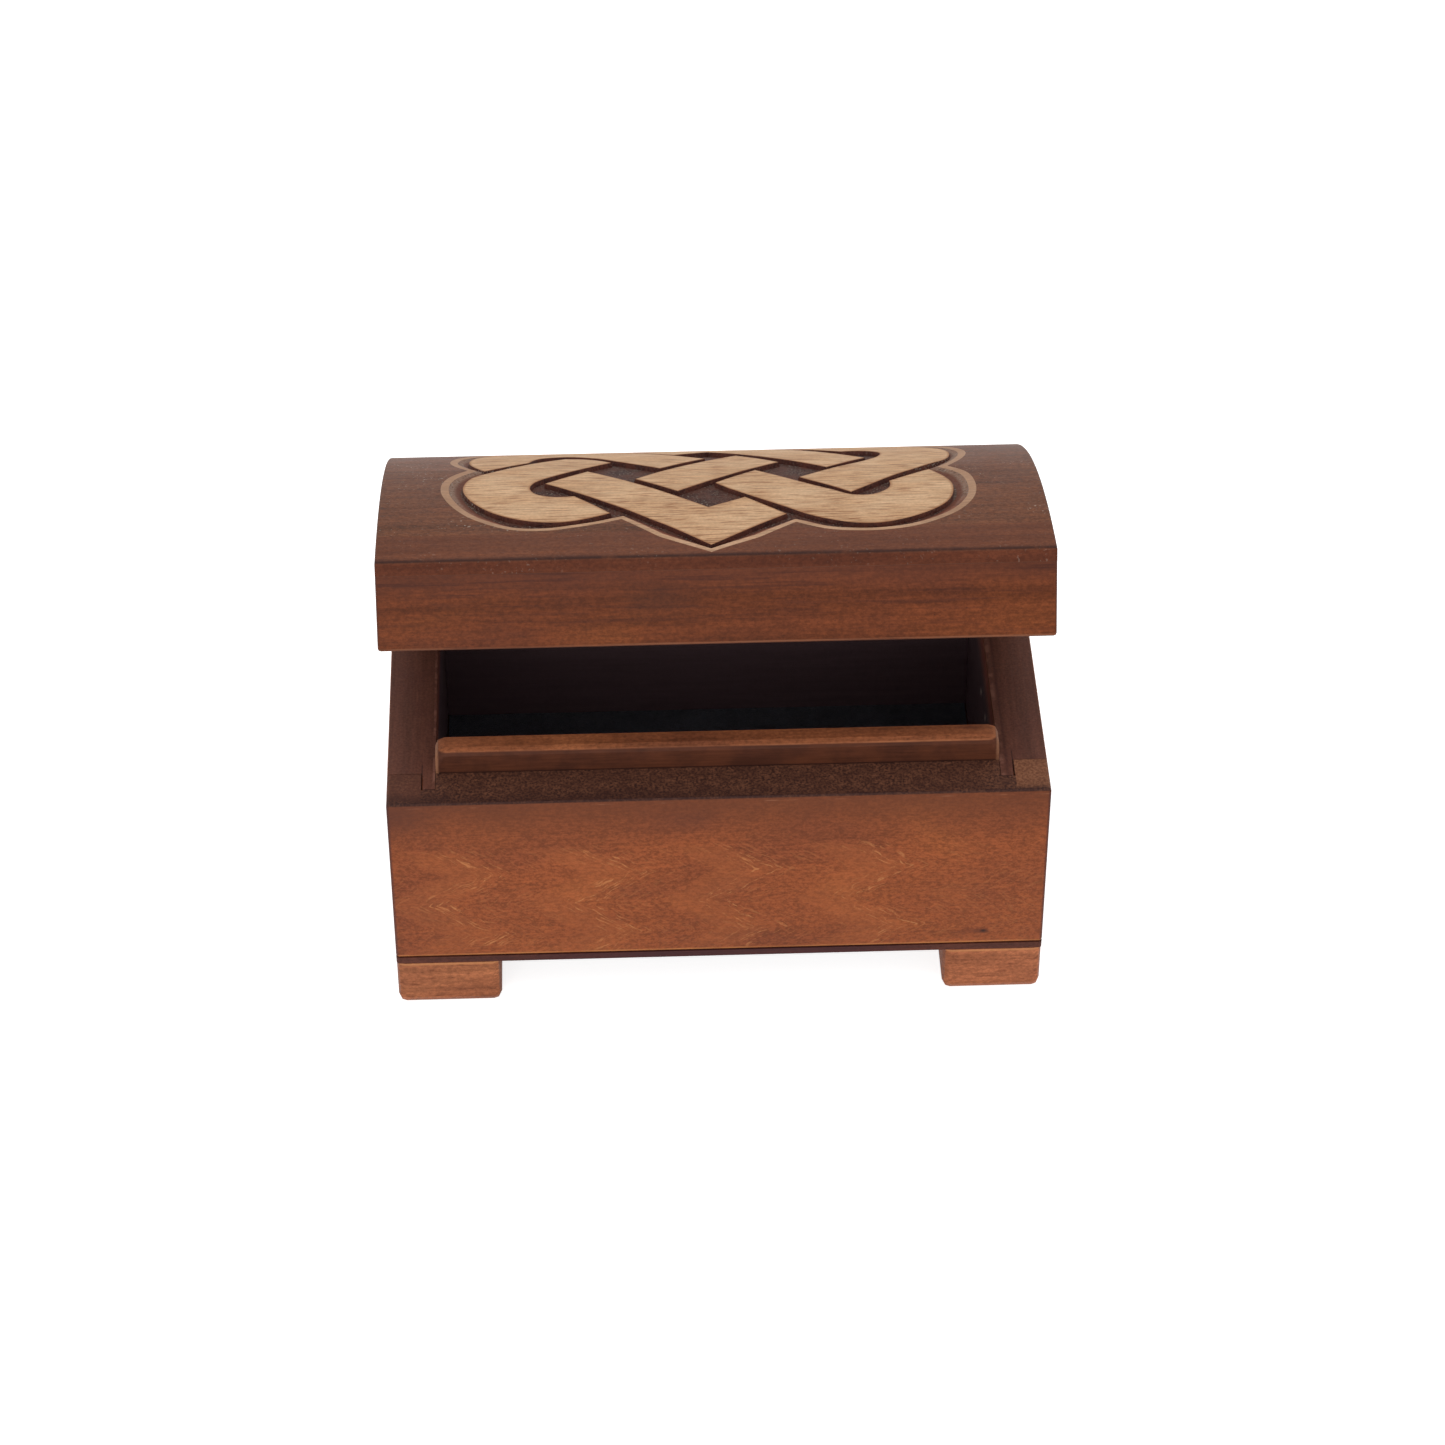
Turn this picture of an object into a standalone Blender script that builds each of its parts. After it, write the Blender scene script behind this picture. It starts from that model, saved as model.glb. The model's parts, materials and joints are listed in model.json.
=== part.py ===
"""A small wooden keepsake box: four tongued walls on a thin bottom and four feet, with a domed lid on two hinges.

X runs to the right, Y to the back and Z up, and every length is in metres. The feet stand at Z = 0. The box
stands as it is shown, with its lid part open, and the origin lies under the middle of all of it. Every piece is
built where it lies in the closed box, and the lid is turned open about its hinge pins at the end.
"""

import itertools
import math

import bmesh
import bpy
from mathutils import Matrix, Vector
from mathutils.geometry import intersect_line_line_2d

# The body's walls. The front and back walls run the full width, and the side walls fit between them.
BODY_WIDTH = 0.130
BODY_DEPTH = 0.084
WALL_HEIGHT = 0.0406
LONG_WALL = 0.0094
SIDE_WALL = 0.0095
TONGUE_LENGTH = 0.0047
TONGUE_THICKNESS = 0.0026
EDGE_ROUNDING = 0.0006

# The bottom, its felt and the feet.
BOTTOM_THICKNESS = 0.0015
LINING_THICKNESS = 0.0004
LINING_MARGIN = 0.0003
LEFT_FOOT_WIDTH = 0.0209
RIGHT_FOOT_WIDTH = 0.0198
FOOT_DEPTH = 0.0200
FOOT_HEIGHT = 0.0111
FOOT_ROUNDING = 0.0016

# The strip inside the front wall that finds the lid as it closes.
STRIP_THICKNESS = 0.0043
STRIP_STAND = 0.0056
STRIP_DEPTH_BELOW_RIM = 0.0124
STRIP_ROUNDING = 0.0013
STRIP_END_ROUNDING = 0.0020

# The lid: a frame tongued like the body, under one domed panel.
LID_FRAME_HEIGHT = 0.0149
LID_LONG_WALL = 0.0090
LID_SIDE_WALL = 0.0090
PANEL_EDGE = 0.0026
PANEL_CROWN = 0.0062
PANEL_ROUNDING = 0.0004
LID_OPEN_DEGREES = 23.4
LID_STOP_DEGREES = 100.0

# The knot carved into the dome: one endless strap round four loops, with a point at the front and back. The
# reaches are those of the strap's middle line and of the loops' centres from the middle of the dome, and the
# channel round the knot comes closer to it by the taper at the two points.
STRAP_WIDTH = 0.0119
STRAP_GROOVE = 0.0009
CHANNEL_WIDTH = 0.0036
CHANNEL_TAPER = 0.0025
CARVING_DEPTH = 0.0010
LOOP_RADIUS = 0.0115
LOOP_REACH = 0.0307
BACK_LOOP_REACH = 0.0153
FRONT_LEFT_LOOP_REACH = 0.0104
FRONT_RIGHT_LOOP_REACH = 0.0137
POINT_REACH = 0.0302

# The two hinges, let into the rims at the back.
HINGE_LENGTH = 0.018
HINGE_END_DISTANCE = 0.018
HINGE_INSET = 0.0010
KNUCKLE_RADIUS = 0.0015
KNUCKLE_SPACE = 0.0003
PIN_RADIUS = 0.0007
LEAF_THICKNESS = 0.0008
LEAF_WIDTH = 0.0064
SCREW_SPACING = 0.010
SCREW_SETBACK = 0.0023
SCREW_HEAD_RADIUS = 0.0013
SCREW_HEAD_DEPTH = 0.0007
SCREW_SHANK_RADIUS = 0.0006
SCREW_LENGTH = 0.0065
SCREW_TIP = 0.0015

# Clearances.
GLUE_LINE = 0.0001
RIM_GAP = 0.0003
PIN_CLEARANCE = 0.00015
SCREW_CLEARANCE = 0.0002
BARREL_CLEARANCE = 0.0003
CUT_OVERRUN = 0.002

# Which way a piece's wood lies from the gap between the rims.
BELOW = -1
ABOVE = 1

# Counts, angles and shares that set how finely round shapes are drawn and colours are read.
ROUND_SIDES = 24
SCREW_SIDES = 16
EDGE_STEPS = 2
DOME_STEPS = 36
LOOP_STEPS = 12
SHARP_DEGREES = 30.0
STRAIGHT_ON = 0.999
DISPLAY_GAMMA = 2.2

# Heights and places that follow from the sizes.
BOTTOM_Z = FOOT_HEIGHT + GLUE_LINE
WALL_Z = BOTTOM_Z + BOTTOM_THICKNESS + GLUE_LINE
RIM_Z = WALL_Z + WALL_HEIGHT
HALF_WIDTH = BODY_WIDTH / 2
HALF_DEPTH = BODY_DEPTH / 2
LID_Z = RIM_Z + RIM_GAP
PANEL_Z = LID_Z + LID_FRAME_HEIGHT + GLUE_LINE
HINGE_AXIS = Vector((0, HALF_DEPTH - HINGE_INSET, RIM_Z + RIM_GAP / 2))
HINGE_REACH = HALF_WIDTH - HINGE_END_DISTANCE - HINGE_LENGTH / 2
KNUCKLE_LENGTH = (HINGE_LENGTH - 2 * KNUCKLE_SPACE) / 3

SIDES = {
    "left": Vector((-1, 0, 0)),
    "right": Vector((1, 0, 0)),
    "front": Vector((0, -1, 0)),
    "back": Vector((0, 1, 0)),
    "under": Vector((0, 0, -1)),
    "top": Vector((0, 0, 1)),
}


def clear_scene():
    """Takes out whatever the scene holds."""
    for thing in list(bpy.data.objects):
        bpy.data.objects.remove(thing, do_unlink=True)


def finish(name, shade, roughness, metallic=0.0):
    """A plain material, its colour given as 0 to 255 on a display."""
    material = bpy.data.materials.new(name)
    material.use_nodes = True
    shader = material.node_tree.nodes["Principled BSDF"]
    linear = [(level / 255) ** DISPLAY_GAMMA for level in shade]
    shader.inputs["Base Color"].default_value = (*linear, 1.0)
    shader.inputs["Roughness"].default_value = roughness
    shader.inputs["Metallic"].default_value = metallic
    return material


def holder(name, place, parent=None):
    """An empty that carries pieces."""
    empty = bpy.data.objects.new(name, None)
    bpy.context.scene.collection.objects.link(empty)
    empty.location = place
    empty.parent = parent
    bpy.context.view_layer.update()
    return empty


def solid_data(name, mesh, origin, material):
    """Turns a mesh that was built in place into data about its own origin."""
    bmesh.ops.translate(mesh, vec=-Vector(origin), verts=mesh.verts)
    data = bpy.data.meshes.new(name)
    mesh.to_mesh(data)
    mesh.free()
    data.materials.append(material)
    data.shade_smooth()
    data.set_sharp_from_angle(angle=math.radians(SHARP_DEGREES))
    return data


def stand(name, data, origin, carrier, turn=(0, 0, 0)):
    """Puts data in the scene where it lies in the closed box, carried by an empty."""
    piece = bpy.data.objects.new(name, data)
    bpy.context.scene.collection.objects.link(piece)
    piece.location = origin
    piece.rotation_euler = turn
    piece.parent = carrier
    piece.matrix_parent_inverse = carrier.matrix_world.inverted()
    return piece


def add_box(mesh, low, high):
    """Adds a box between two corners."""
    low, high = Vector(low), Vector(high)
    corners = bmesh.ops.create_cube(mesh, size=1.0)["verts"]
    bmesh.ops.scale(mesh, vec=high - low, verts=corners)
    bmesh.ops.translate(mesh, vec=(low + high) / 2, verts=corners)


def add_rod(mesh, start, end, radius, end_radius, sides):
    """Adds a closed rod or cone between two points."""
    start, end = Vector(start), Vector(end)
    turn = (end - start).to_track_quat("Z", "Y").to_matrix().to_4x4()
    bmesh.ops.create_cone(
        mesh,
        cap_ends=True,
        segments=sides,
        radius1=radius,
        radius2=end_radius,
        depth=(end - start).length,
        matrix=Matrix.Translation((start + end) / 2) @ turn,
    )


def sweep(mesh, faces, way):
    """Makes some flat faces of a mesh into the solid that they sweep along a straight way."""
    swept = bmesh.ops.extrude_face_region(mesh, geom=faces)["geom"]
    moved = [part for part in swept if isinstance(part, bmesh.types.BMVert)]
    bmesh.ops.translate(mesh, vec=way, verts=moved)
    bmesh.ops.recalc_face_normals(mesh, faces=mesh.faces)


def add_prism(mesh, outline, way):
    """Adds the solid that a flat outline sweeps along a straight way."""
    sweep(mesh, [mesh.faces.new([mesh.verts.new(corner) for corner in outline])], way)


def prism(outline, way):
    """The solid that a flat outline sweeps along a straight way, as a mesh of its own."""
    mesh = bmesh.new()
    add_prism(mesh, outline, way)
    return mesh


def sides_of(edge):
    """The names of the two sides that an edge lies between. A sloping side has the name slope."""
    names = set()
    for face in edge.link_faces:
        found = [name for name, way in SIDES.items() if face.normal.dot(way) > STRAIGHT_ON]
        names.add(found[0] if found else "slope")
    return names


def ease(mesh, pairs, radius):
    """Rounds the edges that lie between the named pairs of sides."""
    mesh.normal_update()
    chosen = [edge for edge in mesh.edges if sides_of(edge) in pairs]
    bmesh.ops.bevel(
        mesh,
        geom=chosen,
        affect="EDGES",
        offset_type="OFFSET",
        offset=radius,
        segments=EDGE_STEPS,
        profile=0.5,
        clamp_overlap=True,
        material=-1,
    )


def helper(name, mesh, carrier):
    """Stands a mesh that was built in place in the scene as a tool, which is no piece of the box."""
    data = bpy.data.meshes.new(name)
    mesh.to_mesh(data)
    mesh.free()
    tool = stand(name, data, (0, 0, 0), carrier)
    tool.hide_render = True
    tool.display_type = "WIRE"
    return tool


def take_away(piece, tool):
    """Cuts a tool out of a piece."""
    boolean = piece.modifiers.new("cut", "BOOLEAN")
    boolean.operation = "DIFFERENCE"
    boolean.solver = "EXACT"
    boolean.use_self = True
    boolean.object = tool


def cut(piece, mesh, carrier):
    """Cuts a mesh that was built in place out of a piece."""
    take_away(piece, helper(piece.name + "_cutter", mesh, carrier))


def outer_edges(side, upper):
    """The pairs of sides to ease on a wall whose outer face is at one side, with or without its upper edges."""
    ends = ("left", "right") if side in ("front", "back") else ()
    pairs = [{side, end} for end in ends]
    for face in (side, *ends):
        pairs.append({face, "under"})
        if upper:
            pairs.append({face, "top"})
    return pairs


def bevel_for_swing(mesh, away):
    """Slopes a rear wall's edge beside the hinge line, so that the lid turns back until the two slopes meet."""
    slope = math.radians(LID_STOP_DEGREES / 2)
    normal = Vector((0, math.sin(slope), -away * math.cos(slope)))
    everything = mesh.verts[:] + mesh.edges[:] + mesh.faces[:]
    bmesh.ops.bisect_plane(
        mesh,
        geom=everything,
        plane_co=HINGE_AXIS - normal * RIM_GAP / 2,
        plane_no=normal,
        clear_outer=True,
    )
    bmesh.ops.holes_fill(mesh, edges=[edge for edge in mesh.edges if edge.is_boundary])


def long_wall(name, side, base, height, thickness, side_thickness, away, material, carrier):
    """A front or back wall with a dado near each end for a side wall's tongue."""
    forward = -1 if side == "front" else 1
    outer = forward * HALF_DEPTH
    inner = forward * (HALF_DEPTH - thickness)
    low = Vector((-HALF_WIDTH, min(outer, inner), base))
    high = Vector((HALF_WIDTH, max(outer, inner), base + height))
    mesh = bmesh.new()
    add_box(mesh, low, high)
    ease(mesh, outer_edges(side, upper=away < 0), EDGE_ROUNDING)
    if side == "back":
        bevel_for_swing(mesh, away)
    middle = (low + high) / 2
    wall = stand(name, solid_data(name, mesh, middle, material), middle, carrier)

    dados = bmesh.new()
    floor = inner + forward * (TONGUE_LENGTH + GLUE_LINE)
    mouth = inner - forward * CUT_OVERRUN
    for across in (-1, 1):
        near = across * (HALF_WIDTH - side_thickness - GLUE_LINE)
        far = across * (HALF_WIDTH - side_thickness + TONGUE_THICKNESS + GLUE_LINE)
        add_box(
            dados,
            (min(near, far), min(floor, mouth), base - CUT_OVERRUN),
            (max(near, far), max(floor, mouth), base + height + CUT_OVERRUN),
        )
    cut(wall, dados, carrier)
    return wall


def side_wall(name, side, base, height, thickness, long_thickness, away, material, carrier):
    """A left or right wall with a tongue at each end, flush with its inner face."""
    across = -1 if side == "left" else 1
    inner = HALF_WIDTH - thickness
    shoulder = HALF_DEPTH - long_thickness - GLUE_LINE
    tip = HALF_DEPTH - long_thickness + TONGUE_LENGTH
    plan = [
        (inner, -tip),
        (inner + TONGUE_THICKNESS, -tip),
        (inner + TONGUE_THICKNESS, -shoulder),
        (HALF_WIDTH, -shoulder),
        (HALF_WIDTH, shoulder),
        (inner + TONGUE_THICKNESS, shoulder),
        (inner + TONGUE_THICKNESS, tip),
        (inner, tip),
    ]
    mesh = prism([(across * x, y, base) for x, y in plan], (0, 0, height))
    ease(mesh, outer_edges(side, upper=away < 0), EDGE_ROUNDING)
    middle = Vector((across * (HALF_WIDTH - thickness / 2), 0, base + height / 2))
    return stand(name, solid_data(name, mesh, middle, material), middle, carrier)


def bottom_panel(material, carrier):
    """The thin bottom, as wide and deep as the walls on it."""
    mesh = bmesh.new()
    add_box(
        mesh,
        (-HALF_WIDTH, -HALF_DEPTH, BOTTOM_Z),
        (HALF_WIDTH, HALF_DEPTH, BOTTOM_Z + BOTTOM_THICKNESS),
    )
    corners = [{end, side} for end in ("left", "right") for side in ("front", "back")]
    ease(mesh, corners, EDGE_ROUNDING)
    middle = (0, 0, BOTTOM_Z + BOTTOM_THICKNESS / 2)
    stand("bottom_panel", solid_data("bottom_panel", mesh, middle, material), middle, carrier)


def floor_lining(material, carrier):
    """The felt on the floor, inside the four walls."""
    reach_x = HALF_WIDTH - SIDE_WALL - LINING_MARGIN
    reach_y = HALF_DEPTH - LONG_WALL - LINING_MARGIN
    low = BOTTOM_Z + BOTTOM_THICKNESS + GLUE_LINE
    mesh = bmesh.new()
    add_box(mesh, (-reach_x, -reach_y, low), (reach_x, reach_y, low + LINING_THICKNESS))
    middle = (0, 0, low + LINING_THICKNESS / 2)
    stand("floor_lining", solid_data("floor_lining", mesh, middle, material), middle, carrier)


def feet(material, carrier):
    """Four block feet under the corners, flush with the walls and rounded below."""
    faces = ("left", "right", "front", "back")
    pairs = [{face, other} for face in faces for other in (*faces, "under") if other != face]
    reach = HALF_DEPTH - FOOT_DEPTH / 2
    for side, across, width in (("left", -1, LEFT_FOOT_WIDTH), ("right", 1, RIGHT_FOOT_WIDTH)):
        mesh = bmesh.new()
        corner = Vector((width / 2, FOOT_DEPTH / 2, 0))
        add_box(mesh, -corner, corner + Vector((0, 0, FOOT_HEIGHT)))
        ease(mesh, pairs, FOOT_ROUNDING)
        data = solid_data(f"{side}_foot", mesh, (0, 0, 0), material)
        x = across * (HALF_WIDTH - width / 2)
        stand(f"front_{side}_foot", data, (x, -reach, 0), carrier)
        stand(f"back_{side}_foot", data, (x, reach, 0), carrier)


def locating_strip(material, carrier):
    """The strip on the front wall's inner face, rounded where the lid comes down over it."""
    reach = HALF_WIDTH - SIDE_WALL - GLUE_LINE
    front = -HALF_DEPTH + LONG_WALL + GLUE_LINE
    low = RIM_Z - STRIP_DEPTH_BELOW_RIM
    high = RIM_Z + STRIP_STAND
    mesh = bmesh.new()
    add_box(mesh, (-reach, front, low), (reach, front + STRIP_THICKNESS, high))
    ease(mesh, [{"left", "top"}, {"right", "top"}], STRIP_END_ROUNDING)
    ease(mesh, [{"front", "top"}, {"front", "slope"}], STRIP_ROUNDING)
    middle = (0, front + STRIP_THICKNESS / 2, (low + high) / 2)
    stand("locating_strip", solid_data("locating_strip", mesh, middle, material), middle, carrier)


def arched_board(depth, overrun):
    """A board arched from front to back, its top some depth below the dome and its ends some way beyond."""
    dome_radius = (HALF_DEPTH**2 + PANEL_CROWN**2) / (2 * PANEL_CROWN)
    sweep = math.asin(HALF_DEPTH / dome_radius)
    centre_z = PANEL_Z + PANEL_EDGE - dome_radius * math.cos(sweep)
    radius = dome_radius - depth
    low = PANEL_Z - overrun
    reach = radius * math.sin(sweep)
    profile = [(reach, low), (-reach, low)]
    for step in range(DOME_STEPS + 1):
        turn = sweep * (2 * step / DOME_STEPS - 1)
        profile.append((radius * math.sin(turn), centre_z + radius * math.cos(turn)))
    end = HALF_WIDTH + overrun
    return prism([(-end, y, z) for y, z in profile], (2 * end, 0, 0))


def touch(point, centre, turn):
    """Where a straight line from a point touches a loop that it then follows round, to the left (1) or right (-1)."""
    way = centre - point
    lean = math.asin(LOOP_RADIUS / way.length)
    straight = Matrix.Rotation(-turn * lean, 2) @ way.normalized()
    return point + straight * straight.dot(way)


def follow(start, end, centre, turn):
    """Points round a loop from one place on it to another."""
    first, last = (math.atan2(place.y - centre.y, place.x - centre.x) for place in (start, end))
    sweep = turn * ((turn * (last - first)) % math.tau)
    radius = (start - centre).length
    angles = [first + sweep * step / LOOP_STEPS for step in range(LOOP_STEPS + 1)]
    return [centre + radius * Vector((math.cos(angle), math.sin(angle))) for angle in angles]


def knot_plan(reach):
    """The knot from above: its strap's closed middle line, its loops' centres and its ground's corners."""
    front, back = Vector((0, -reach)), Vector((0, reach))
    front_left = Vector((-LOOP_REACH, -FRONT_LEFT_LOOP_REACH))
    front_right = Vector((LOOP_REACH, -FRONT_RIGHT_LOOP_REACH))
    back_left = Vector((-LOOP_REACH, BACK_LOOP_REACH))
    back_right = Vector((LOOP_REACH, BACK_LOOP_REACH))
    falling = (back_left + front_right) / 2
    rising = (front_left + back_right) / 2
    line = [front]
    for before, centre, after, turn in (
        (front, back_left, falling, -1),
        (falling, front_right, back, 1),
        (back, front_left, rising, 1),
        (rising, back_right, front, -1),
    ):
        line += follow(touch(before, centre, turn), touch(after, centre, -turn), centre, turn)
        if after is back:
            line.append(back)
    loops = (front_right, back_right, back_left, front_left)
    return line, loops, (front, *loops[:2], back, *loops[2:])


def crossings(line):
    """Where a closed line crosses itself, in the order of the line: each as its stretch and its place."""
    found = []
    ends = line[1:] + line[:1]
    for first, second in itertools.combinations(range(len(line)), 2):
        if 1 < second - first < len(line) - 1:
            place = intersect_line_line_2d(line[first], ends[first], line[second], ends[second])
            if place:
                found += [(first, place), (second, place)]
    return sorted(found, key=lambda crossing: (crossing[0], (crossing[1] - line[crossing[0]]).length))


def straps_of(line, gap):
    """The middle lines of a knot's straps, each ending at a gap from the crossings where it goes under."""
    straps = []
    unders = crossings(line)[1::2]
    for (first, start), (last, end) in zip(unders, unders[1:] + unders[:1]):
        inner = [line[(first + 1 + step) % len(line)] for step in range((last - first) % len(line))]
        after_start, before_end = (inner[0], inner[-1]) if inner else (end, start)
        start = start + gap * (after_start - start).normalized()
        end = end + gap * (before_end - end).normalized()
        straps.append([start, *inner, end])
    return straps


def add_band(mesh, line, width, low, high):
    """Adds the upright solid of a band round an open middle line, mitred where the line turns."""
    sides = ([], [])
    for before, point, after in zip([None, *line], line, [*line[1:], None]):
        ways = [(b - a).normalized() for a, b in ((before, point), (point, after)) if a and b]
        across = sum(ways, Vector((0, 0))).normalized().orthogonal()
        across *= width / 2 / across.dot(ways[0].orthogonal())
        for side, way in zip(sides, (1, -1)):
            side.append((*(point + way * across), low))
    add_prism(mesh, [*sides[0], *reversed(sides[1])], (0, 0, high - low))


def carve_knot(panel, carrier):
    """Carves the channel round and between the knot's straps, down to a floor arched like the dome."""
    low = PANEL_Z + PANEL_EDGE - CARVING_DEPTH
    high = PANEL_Z + PANEL_EDGE + PANEL_CROWN + CUT_OVERRUN
    room = bmesh.new()
    line, loops, ground = knot_plan(POINT_REACH - CHANNEL_TAPER)
    add_prism(room, [(*corner, low) for corner in ground], (0, 0, high - low))
    for strap in straps_of(line, STRAP_WIDTH / 4):
        low, high = low - GLUE_LINE, high + GLUE_LINE
        add_band(room, strap, STRAP_WIDTH + 2 * CHANNEL_WIDTH, low, high)
    for centre in loops:
        low, high = low - GLUE_LINE, high + GLUE_LINE
        add_rod(room, (*centre, low), (*centre, high), LOOP_RADIUS, LOOP_RADIUS, ROUND_SIDES)
    pocket = helper("knot_pocket", room, carrier)

    straps = bmesh.new()
    line, loops, ground = knot_plan(POINT_REACH)
    for strap in straps_of(line, STRAP_WIDTH / 2 + STRAP_GROOVE):
        add_band(straps, strap, STRAP_WIDTH, low - CUT_OVERRUN, high + CUT_OVERRUN)
    cut(pocket, straps, carrier)
    cut(pocket, arched_board(CARVING_DEPTH, CUT_OVERRUN), carrier)
    take_away(panel, pocket)


def domed_panel(material, carrier):
    """The lid's one thick board, flat below and arched from front to back, with its carved knot."""
    mesh = arched_board(0, 0)
    around = ("left", "right", "front", "back")
    arrises = [{side, top} for side in around for top in ("slope", "top")]
    corners = [{end, side} for end in ("left", "right") for side in ("front", "back")]
    ease(mesh, arrises + corners, PANEL_ROUNDING)
    middle = (0, 0, PANEL_Z)
    data = solid_data("lid_domed_panel", mesh, middle, material)
    carve_knot(stand("lid_domed_panel", data, middle, carrier), carrier)


def knuckle_spans(centre):
    """Where each of a hinge's three knuckles starts and ends along X."""
    first = centre - HINGE_LENGTH / 2
    pitch = KNUCKLE_LENGTH + KNUCKLE_SPACE
    return [(first + pitch * turn, first + pitch * turn + KNUCKLE_LENGTH) for turn in range(3)]


def screw_places(centre, away):
    """The middles of a leaf's two screw heads, on the face that the other leaf meets."""
    y = HINGE_AXIS.y - LEAF_WIDTH + SCREW_SETBACK
    z = HINGE_AXIS.z + away * RIM_GAP / 2
    return [Vector((centre + side * SCREW_SPACING / 2, y, z)) for side in (-1, 1)]


def hinge_leaf(name, centre, away, own, others, material, carrier):
    """A leaf with its own knuckles rolled round the pin and room for the other leaf's."""
    spans = knuckle_spans(centre)
    face = HINGE_AXIS.z + away * RIM_GAP / 2
    back = face + away * LEAF_THICKNESS
    root = HINGE_AXIS.y - (PIN_RADIUS + KNUCKLE_RADIUS) / 2
    mesh = bmesh.new()
    add_box(
        mesh,
        (centre - HINGE_LENGTH / 2, HINGE_AXIS.y - LEAF_WIDTH, min(face, back)),
        (centre + HINGE_LENGTH / 2, root, max(face, back)),
    )
    origin = HINGE_AXIS + Vector((centre, 0, 0))
    leaf = stand(name, solid_data(name, mesh, origin, material), origin, carrier)

    room = bmesh.new()
    edge = HINGE_AXIS.y - KNUCKLE_RADIUS - KNUCKLE_SPACE
    for start, end in (spans[turn] for turn in others):
        add_box(
            room,
            (start - KNUCKLE_SPACE, edge, face - LEAF_THICKNESS - CUT_OVERRUN),
            (end + KNUCKLE_SPACE, HINGE_AXIS.y, face + LEAF_THICKNESS + CUT_OVERRUN),
        )
    cut(leaf, room, carrier)

    for turn in own:
        knuckle = bmesh.new()
        start, end = ((x, HINGE_AXIS.y, HINGE_AXIS.z) for x in spans[turn])
        add_rod(knuckle, start, end, KNUCKLE_RADIUS, KNUCKLE_RADIUS, ROUND_SIDES)
        join(leaf, knuckle, carrier)

    holes = bmesh.new()
    bore = PIN_RADIUS + PIN_CLEARANCE
    reach = HINGE_LENGTH / 2 + CUT_OVERRUN
    start, end = ((centre + side * reach, HINGE_AXIS.y, HINGE_AXIS.z) for side in (-1, 1))
    add_rod(holes, start, end, bore, bore, ROUND_SIDES)
    for place in screw_places(centre, away):
        down = Vector((0, 0, away))
        wide = SCREW_HEAD_RADIUS + SCREW_CLEARANCE
        narrow = SCREW_SHANK_RADIUS + SCREW_CLEARANCE
        taper = (wide - narrow) / SCREW_HEAD_DEPTH
        mouth = wide + taper * SCREW_CLEARANCE
        throat = mouth - taper * (SCREW_CLEARANCE + SCREW_HEAD_DEPTH)
        top = place - down * SCREW_CLEARANCE
        bottom = place + down * SCREW_HEAD_DEPTH
        add_rod(holes, top, bottom, mouth, throat, SCREW_SIDES)
        add_rod(holes, place, place + down * CUT_OVERRUN, narrow, narrow, SCREW_SIDES)
    cut(leaf, holes, carrier)


def join(piece, mesh, carrier):
    """Joins a mesh that was built in place to a piece."""
    boolean = piece.modifiers.new("join", "BOOLEAN")
    boolean.operation = "UNION"
    boolean.solver = "EXACT"
    boolean.object = helper(piece.name + "_addition", mesh, carrier)


def seat_hinge(wall, centre, away, carrier):
    """Lets a hinge leaf, the barrel and its screws into a rear wall."""
    seat = bmesh.new()
    face = HINGE_AXIS.z + away * RIM_GAP / 2
    floor = face + away * (LEAF_THICKNESS + GLUE_LINE)
    open_side = face - away * CUT_OVERRUN
    half = HINGE_LENGTH / 2 + GLUE_LINE
    add_box(
        seat,
        (centre - half, HINGE_AXIS.y - LEAF_WIDTH - GLUE_LINE, min(floor, open_side)),
        (centre + half, HALF_DEPTH + CUT_OVERRUN, max(floor, open_side)),
    )
    groove = KNUCKLE_RADIUS + BARREL_CLEARANCE
    reach = HINGE_LENGTH / 2 + BARREL_CLEARANCE
    start, end = ((centre + side * reach, HINGE_AXIS.y, HINGE_AXIS.z) for side in (-1, 1))
    add_rod(seat, start, end, groove, groove, ROUND_SIDES)
    pilot = SCREW_SHANK_RADIUS + SCREW_CLEARANCE
    for place in screw_places(centre, away):
        bottom = place + Vector((0, 0, away * (SCREW_LENGTH + SCREW_CLEARANCE)))
        add_rod(seat, place, bottom, pilot, pilot, SCREW_SIDES)
    cut(wall, seat, carrier)


def screw_data(material):
    """A countersunk screw, its head's middle at the origin and its point below."""
    profile = [
        (0, 0),
        (SCREW_HEAD_RADIUS, 0),
        (SCREW_SHANK_RADIUS, -SCREW_HEAD_DEPTH),
        (SCREW_SHANK_RADIUS, SCREW_TIP - SCREW_LENGTH),
        (0, -SCREW_LENGTH),
    ]
    mesh = bmesh.new()
    points = [mesh.verts.new((radius, 0, z)) for radius, z in profile]
    line = [mesh.edges.new(pair) for pair in zip(points, points[1:])]
    bmesh.ops.spin(
        mesh,
        geom=points + line,
        cent=(0, 0, 0),
        axis=(0, 0, 1),
        angle=math.tau,
        steps=SCREW_SIDES,
        use_merge=True,
    )
    bmesh.ops.remove_doubles(mesh, verts=mesh.verts, dist=GLUE_LINE / 2)
    bmesh.ops.recalc_face_normals(mesh, faces=mesh.faces)
    return solid_data("hinge_screw", mesh, (0, 0, 0), material)


def pin_data(material):
    """A hinge pin as long as its three knuckles."""
    mesh = bmesh.new()
    half = HINGE_LENGTH / 2
    add_rod(mesh, (-half, 0, 0), (half, 0, 0), PIN_RADIUS, PIN_RADIUS, ROUND_SIDES)
    return solid_data("hinge_pin", mesh, (0, 0, 0), material)


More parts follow.
